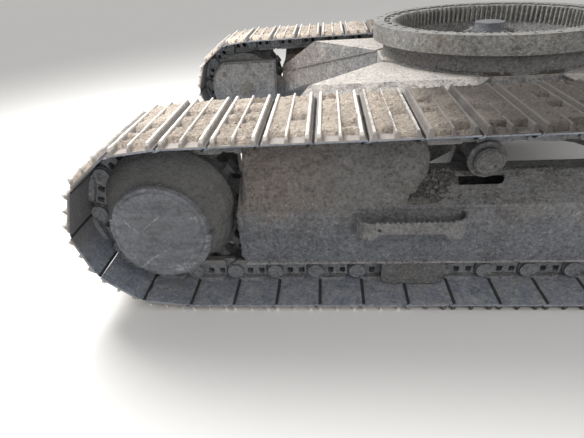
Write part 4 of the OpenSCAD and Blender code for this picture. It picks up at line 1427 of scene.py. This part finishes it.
    def build(self) -> None:
        """Trims both drives."""
        for name, piece, finish, slot, angle in (
                ("cover_mud", self.apron(), Finishes.DRIVE, Slot.DRIVE, 70),
                ("drive_mud", self.collar(), Finishes.DRIVE_MUD, Slot.DRIVE, 70),
                ("drive_bolts", self.bolts(), Finishes.BOLT, Slot.DRIVE, SHARP),
                ("cover_crust", self.face_crust(), Finishes.DRIVE, Slot.DRIVE, 70),
                ("motor_bolts", self.motor_bolts(), Finishes.BOLT, Slot.PAINT, SHARP)):
            Bench.both_sides(name, piece, finish, slot, angle)


@dataclass
class RunningGear:
    """Caps, plugs and seals of carrier rollers, bottom rollers, idler and its recoil spring."""

    chain: Chain
    rollers: int = 7
    outer: float = 0.126
    idler_face: float = 0.084
    plug_y: float = 0.1272
    collar_y: float = 0.117
    block_y: float = 0.1435
    block_bolts: Rows = ((-0.052, 0.030), (-0.052, -0.030), (0.042, 0.034), (0.042, -0.034))
    coil_r: float = 0.058
    wire_r: float = 0.0095
    coil_pitch: float = 0.027
    coils: int = 4

    def caps(self) -> Thing:
        """Models the carrier rollers' end caps: a raised rim, a snap ring and an oil plug."""
        made = []
        for x in self.chain.carrier_x:
            cap = Bench.turned([
                (0, 0.0035), (0.008, 0.0035), (0.009, 0.0015), (0.030, 0.0012), (0.031, 0.004),
                (0.036, 0.0045), (0.038, 0.0015), (0.047, 0.0015), (0.047, -0.001), (0, -0.001)], 36)
            Bench.put(cap, shift(x, -self.outer, self.chain.carrier_z) @ spin(90, "X"))
            made.append(Bench.roughen(cap, 0.0014, 0.02))
        return Bench.join(made)

    def roller_bolts(self) -> Thing:
        """Stands the bolts under the bottom rollers' collars and the plugs in their ends."""
        span = (self.chain.axle_gap - 2 * self.chain.roller_end) / (self.rollers - 1)
        z = self.chain.roller_z
        places = [(self.chain.roller_end + i * span, hand) for i in range(self.rollers) for hand in HANDS]
        plugs = Bench.array(Bench.stud(0.013, 0.003, 12, 0.002), [
            shift(x, hand * self.plug_y, z + 0.01) @ spin(-90 * hand, "X") for x, hand in places])
        heads = Bench.array(Bench.stud(0.014, 0.010), [
            shift(x + end * 0.0385, hand * self.collar_y, z - 0.020) @ spin(180, "Y")
            @ Matrix.Rotation(end * 1.18, 4, "Y") @ Matrix.Scale(0.8, 4)
            for x, hand in places for end in HANDS])
        return Bench.join([plugs, heads])

    def idler_plugs(self) -> Thing:
        """Models the idler's hub seals and the bearing blocks' bolts."""
        x, z = self.chain.axle_gap, self.chain.idler_z
        seals = Bench.array(Bench.turned([
            (0.052, -0.001), (0.052, 0.004), (0.058, 0.006), (0.078, 0.006),
            (0.084, 0.003), (0.084, -0.001)], 36, True), [
            shift(x, hand * self.idler_face, z) @ spin(-90 * hand, "X") for hand in HANDS])
        heads = Bench.array(Bench.stud(0.012, 0.008), [
            shift(x + dx, hand * self.block_y, z + dz) @ spin(-90 * hand, "X")
            for hand in HANDS for dx, dz in self.block_bolts])
        return Bench.join([seals, heads])

    def spring(self) -> Thing:
        """Winds the recoil spring between the rod's head and the cylinder."""
        push = self.chain.axle_gap - self.chain.idler_r - 0.020 - 0.0963
        Bench.only()
        bpy.ops.mesh.primitive_circle_add(vertices=8, radius=self.wire_r, location=(self.coil_r, 0, 0),
                                          rotation=(math.radians(90), 0, 0))
        spring = Bench.added()
        coil = spring.modifiers.new("coil", "SCREW")
        coil.angle, coil.screw_offset, coil.iterations = math.tau, self.coil_pitch, self.coils
        coil.steps = coil.render_steps = 20
        bpy.ops.object.modifier_apply(modifier=coil.name)
        with Bench.edit(spring):
            bpy.ops.mesh.select_all(action="SELECT")
            bpy.ops.mesh.remove_doubles(threshold=1e-5)
            Bench.open_edges()
            bpy.ops.mesh.edge_face_add()
            Bench.outwards()
        return Bench.put(spring, shift(push - 0.140, 0, self.chain.idler_z) @ spin(90, "Y"))

    def build(self) -> None:
        """Trims the rollers and idlers of both sides."""
        for name, piece, finish in (("carrier_caps", self.caps(), Finishes.ROLLER),
                                    ("roller_bolts", self.roller_bolts(), Finishes.BOLT),
                                    ("idler_plugs", self.idler_plugs(), Finishes.ROLLER)):
            Bench.both_sides(name, piece, finish, Slot.ROLLERS)
        Bench.both_sides("recoil_spring", self.spring(), Finishes.DRIVE, Slot.DRIVE, 60)


# Centre


@dataclass
class CarBody:
    """Weld beads, dust drifts and bolts of the centre box, its legs and the belly cover."""

    core: float = 0.620
    side: float = 0.160
    low: float = 0.470
    top: float = 0.790
    wall: float = 0.940
    leg_in: float = 0.760
    leg_out: float = 1.310
    leg_front: float = 1.2356
    leg_top: float = 0.510
    crease: float = 0.460
    leg_bottom: float = 0.340
    race: float = 0.598
    belly: float = 0.215
    sides: int = 8

    def leg_welds(self) -> Thing:
        """Lays the beads round the four legs where they meet the centre box and the side frames."""
        core, side, top, leg_in, wall = self.core, self.side, self.top, self.leg_in, self.wall
        lap = wall + (self.leg_top - self.crease) / 0.8
        made = []
        for ahead in HANDS:
            out = self.leg_front if ahead > 0 else self.leg_out
            seams = (
                (0.007, ((core, side, self.low), (core, side, top), (side, core, top),
                         (side, core, self.low))),
                (0.007, ((leg_in, wall - 0.002, self.leg_bottom), (leg_in, wall - 0.002, self.crease),
                         (leg_in - 0.002, lap, self.leg_top), (out + 0.001, lap, self.leg_top))),
                (0.005, ((side, core, top - 0.001), (leg_in, lap, self.leg_top - 0.001))),
                (0.005, ((core, side, top - 0.001), (out * 0.999, wall * 0.99, self.leg_top + 0.010))))
            made += [Bench.bead([(ahead * x, hand * y, z) for x, y, z in path], radius)
                     for hand in HANDS for radius, path in seams]
        return Bench.join(made)

    def box_welds(self) -> Thing:
        """Lays the beads down the centre box's corners and round the pedestal's foot and head."""
        corners = (self.core, self.side), (self.side, self.core)
        made = [Bench.bead([(ahead * x, hand * y, z) for z in (self.low + 0.002, self.top - 0.002)], 0.006)
                for ahead in HANDS for hand in HANDS for x, y in corners]
        for height, radius in ((self.top + 0.003, 0.010), (self.top + 0.087, 0.006)):
            ring = [(self.race * math.cos(a), self.race * math.sin(a), height) for a in angles(72, 0.0)]
            made.append(Bench.bead([*ring, ring[0]], radius, 0.02))
        return Bench.join(made)

    def bolts(self) -> Thing:
        """Stands the belly cover's bolts."""
        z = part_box("belly_cover")[0].z + 0.001
        return Bench.array(Bench.stud(0.016, 0.011), [
            shift(x * self.belly, y * self.belly, z) @ spin(180, "X")
            for x in (-1, 0, 1) for y in (-1, 0, 1) if x or y])

    def drifts(self) -> Thing:
        """Lets dust lie on the centre box's top, thick in the corners behind the pedestal."""
        made = []
        for middle in angles(self.sides):
            def shape(u: float, v: float) -> Vector:
                """The drift between the pedestal's foot and the box's rim."""
                angle = middle + (u - 0.5) * math.tau / self.sides * 0.995
                c, t = abs(math.cos(angle)), abs(math.sin(angle))
                near = self.race + 0.004
                rim = min(self.core / max(c, t), (self.core + self.side) / (c + t)) - 0.008
                r = near + (max(rim, near + 0.004) - near) * v
                at = Vector((r * math.cos(angle), r * math.sin(angle), 4.0))
                rise = 0.014 * (1 - v) ** 2 + abs(lumps(at)) * 0.006
                rise *= min(1.0, (1 - v) * 6) * taper(u, 10, 0.1)
                return Vector((at.x, at.y, self.top + rise - 0.0015))

            made.append(Bench.crust((26, 10), shape, (0, 0, -0.004)))
        return Bench.join(made)

    def build(self) -> None:
        """Dresses the centre box and the legs."""
        for name, piece, finish in (("leg_welds", self.leg_welds(), Finishes.PAINT),
                                    ("box_welds", self.box_welds(), Finishes.PAINT),
                                    ("belly_bolts", self.bolts(), Finishes.BOLT),
                                    # The mud finish paints the upper structure's shadow over the front of
                                    # this dust.
                                    ("top_dust", self.drifts(), Finishes.MUD)):
            Bench.hand_over(name, piece, finish, Slot.PAINT, angle=60)


@dataclass
class SlewRing:
    """Seals, bolts and grease nipples of the slewing ring, and the centre joint's fittings."""

    joint: float = 0.598
    top: float = 0.980
    bolts: int = 36
    inner_circle: float = 0.578
    floor: float = 0.488
    nipple: Pair = (0.6595, 0.925)

    def seal(self) -> Thing:
        """Models the lip seal between the races."""
        r, z = self.joint, self.top - 0.008
        return Bench.turned([(r - 0.007, z - 0.001), (r - 0.007, z + 0.002), (r - 0.003, z + 0.0045),
                             (r + 0.0003, z + 0.003), (r + 0.0003, z - 0.001)], 120, True)

    def inner_bolts(self) -> Thing:
        """Stands the bolts that hold the inner race."""
        return Bench.array(Bench.stud(0.0135, 0.0075), [
            Matrix.Rotation(angle, 4, "Z") @ shift(self.inner_circle, 0, self.top - 0.0090)
            for angle in angles(self.bolts)])

    def nipples(self) -> Thing:
        """Stands the grease nipples in the outer race's side."""
        nipple = Bench.turned([
            (0, 0.010), (0.0022, 0.010), (0.0034, 0.008), (0.0026, 0.0062), (0.0030, 0.005),
            (0.0055, 0.0045), (0.0060, 0.003), (0.0060, -0.001), (0, -0.001)], 12)
        return Bench.array(nipple, [
            Matrix.Rotation(angle, 4, "Z") @ shift(self.nipple[0], 0, self.nipple[1]) @ spin(90, "Y")
            @ Matrix.Scale(0.9, 4) for angle in angles(4)])

    def fittings(self, ports: Iterable[Pair], reach: float, size: float) -> Thing:
        """Screws a hexagon adaptor with a cap on each port of the centre joint.

        Args:
            ports: Height and direction, in degrees, of each port.
            reach: Distance from the axis to the ports' ends.
            size: Radius of a hexagon.

        Returns:
            The fittings.
        """
        aims = [spin(turn, "Z") @ shift(reach, 0, height) @ spin(90, "Y") for height, turn in ports]
        nuts = Bench.array(Bench.stud(size, size * 0.7), [aim @ shift(0, 0, -0.001) for aim in aims])
        caps = Bench.array(Bench.stud(size * 0.72, size * 0.9, 12, size * 0.1),
                           [aim @ shift(0, 0, size * 0.6) for aim in aims])
        return Bench.join([nuts, caps])

    def build(self) -> None:
        """Dresses the ring and the centre joint."""
        lower = [(self.floor + 0.070 + 0.060 * i, 45 + 90 * i) for i in range(4)]
        upper = [(self.floor + 0.403, 60 * i) for i in range(6)]
        for name, piece, finish, slot, body in (
                ("race_seal", self.seal(), Finishes.SEAL_AND_HOLE_SHADE, Slot.RING, ROOT),
                ("race_bolts", self.inner_bolts(), Finishes.BOLT, Slot.RING, ROOT),
                ("nipples", self.nipples(), Finishes.RING, Slot.RING, "slew_outer"),
                ("joint_fittings_lower", self.fittings(lower, 0.130, 0.026), Finishes.BOLT, Slot.DRIVE,
                 ROOT),
                ("joint_fittings_upper", self.fittings(upper, 0.106, 0.022), Finishes.BOLT, Slot.DRIVE,
                 "swivel")):
            Bench.hand_over(name, piece, finish, slot, body)


# Studio


@dataclass
class Studio:
    """Camera at the photograph's angle, pale floor and soft light."""

    place: tuple[float, float, float] = (-0.931, -2.812, 1.357)
    down: float = 0.546
    turn: float = 0.104
    roll: float = -0.072
    lens: float = 27.0
    pale: Colour = (0.80, 0.79, 0.77)
    soft: float = 0.58
    behind: Colour = (0.93, 0.93, 0.92)

    def camera(self) -> None:
        """Sets the camera."""
        c, s, level = math.cos(self.turn), math.sin(self.turn), math.cos(self.down)
        ahead = Vector((-s * level, c * level, -math.sin(self.down)))
        right = Vector((c, s, 0))
        up = right.cross(ahead)
        across = right * math.cos(self.roll) + up * math.sin(self.roll)
        upright = up * math.cos(self.roll) - right * math.sin(self.roll)
        Bench.only()
        bpy.ops.object.camera_add()
        camera = bpy.context.active_object
        camera.name = "camera"
        camera.data.sensor_width = 36.0
        camera.data.lens = self.lens
        camera.data.clip_start = 0.05
        facing = Matrix((across, upright, -ahead)).transposed().to_4x4()
        camera.matrix_world = Matrix.Translation(self.place) @ facing
        bpy.context.scene.camera = camera

    def floor(self) -> None:
        """Lays the floor."""
        bpy.ops.mesh.primitive_plane_add(size=60, location=(0, 0, 0))
        floor = Bench.added()
        floor.name = "floor"
        made = bpy.data.materials.new("pale_floor")
        Graph(made).surface({"Base Color": (*self.pale, 1.0), "Roughness": 0.9, "Specular IOR Level": 0.2})
        floor.data.materials.append(made)

    def lamp(self, name: str, place: Sequence[float], aim: Sequence[float], size: float,
             power: float) -> None:
        """Adds a soft box that looks at a point."""
        bpy.ops.object.light_add(type="AREA", location=tuple(place))
        lamp = bpy.context.active_object
        lamp.name = name
        lamp.data.shape, lamp.data.size, lamp.data.energy = "SQUARE", size, power
        lamp.rotation_euler = (Vector(aim) - Vector(place)).to_track_quat("-Z", "Y").to_euler()

    def world(self) -> None:
        """Even light from all round, pale behind the object."""
        world = bpy.data.worlds.new("studio")
        bpy.context.scene.world = world
        graph = Graph(world)
        shown = [graph.add("ShaderNodeBackground", {}, {"Color": (*colour, 1.0), "Strength": strength})
                 for colour, strength in (((1.0, 1.0, 1.0), self.soft), (self.behind, 1.0))]
        seen, gloss, clear = (graph.add("ShaderNodeLightPath", {}, {}, out) for out in (
            "Is Camera Ray", "Is Glossy Ray", "Is Transmission Ray"))
        factor = seen.maths("MAXIMUM", seen.maths("MAXIMUM", seen, gloss), clear)
        both = graph.add("ShaderNodeMixShader", {}, {0: factor, 1: shown[0], 2: shown[1]})
        graph.add("ShaderNodeOutputWorld", {}, {"Surface": both})

    def build(self) -> None:
        """Sets up the whole studio."""
        bpy.context.scene.view_settings.view_transform = "Standard"
        self.camera()
        self.floor()
        self.world()
        self.lamp("key", (-3.0, 0.7, 3.7), (-1.3, -0.8, 0.7), 2.0, 270.0)
        self.lamp("fill", (1.5, -5.5, 3.4), (-0.3, -0.9, 0.4), 4.0, 90.0)
        LOG.info("studio set")


def dress_nodes() -> None:
    """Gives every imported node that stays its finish, by the start of its name."""
    coats = (
        (Finishes.PAINT, ("side_frame", "drive_bracket", "motor_cover", "idler_yoke", "carrier_brackets",
                          "slew_pedestal", "belly")),
        (Finishes.DRIVE, ("final_drive", "recoil", "swivel")),
        (Finishes.ROLLER, ("sprocket", "idler", "carrier_rollers", "bottom_rollers")),
        (Finishes.DUSTY, ("leg", "car_body")), (Finishes.GUARD, ("track_guards",)),
        (Finishes.STEP, ("steps",)), (Finishes.RING, ("slew",)), (Finishes.SHOE, ("track",)))
    for name, node in sorted(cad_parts.items()):
        finish = next(finish for finish, starts in coats if name.startswith(starts))
        coated = node.data.materials
        for place in range(len(coated)):
            coated[place] = finish.material()
        if not coated:
            coated.append(finish.material())
    LOG.info("nodes dressed: %d", len(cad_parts))


def main() -> None:
    """Builds everything in order."""
    logging.basicConfig(level=logging.INFO, format="%(name)s: %(message)s")
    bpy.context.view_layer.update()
    Studio().build()
    dress_nodes()
    chain = Chain()
    for part in (Track(chain), FrameMud(chain), FrameTrim(chain), DriveTrim(chain), RunningGear(chain),
                 CarBody(), SlewRing()):
        part.build()


if __name__ == "__main__":
    main()
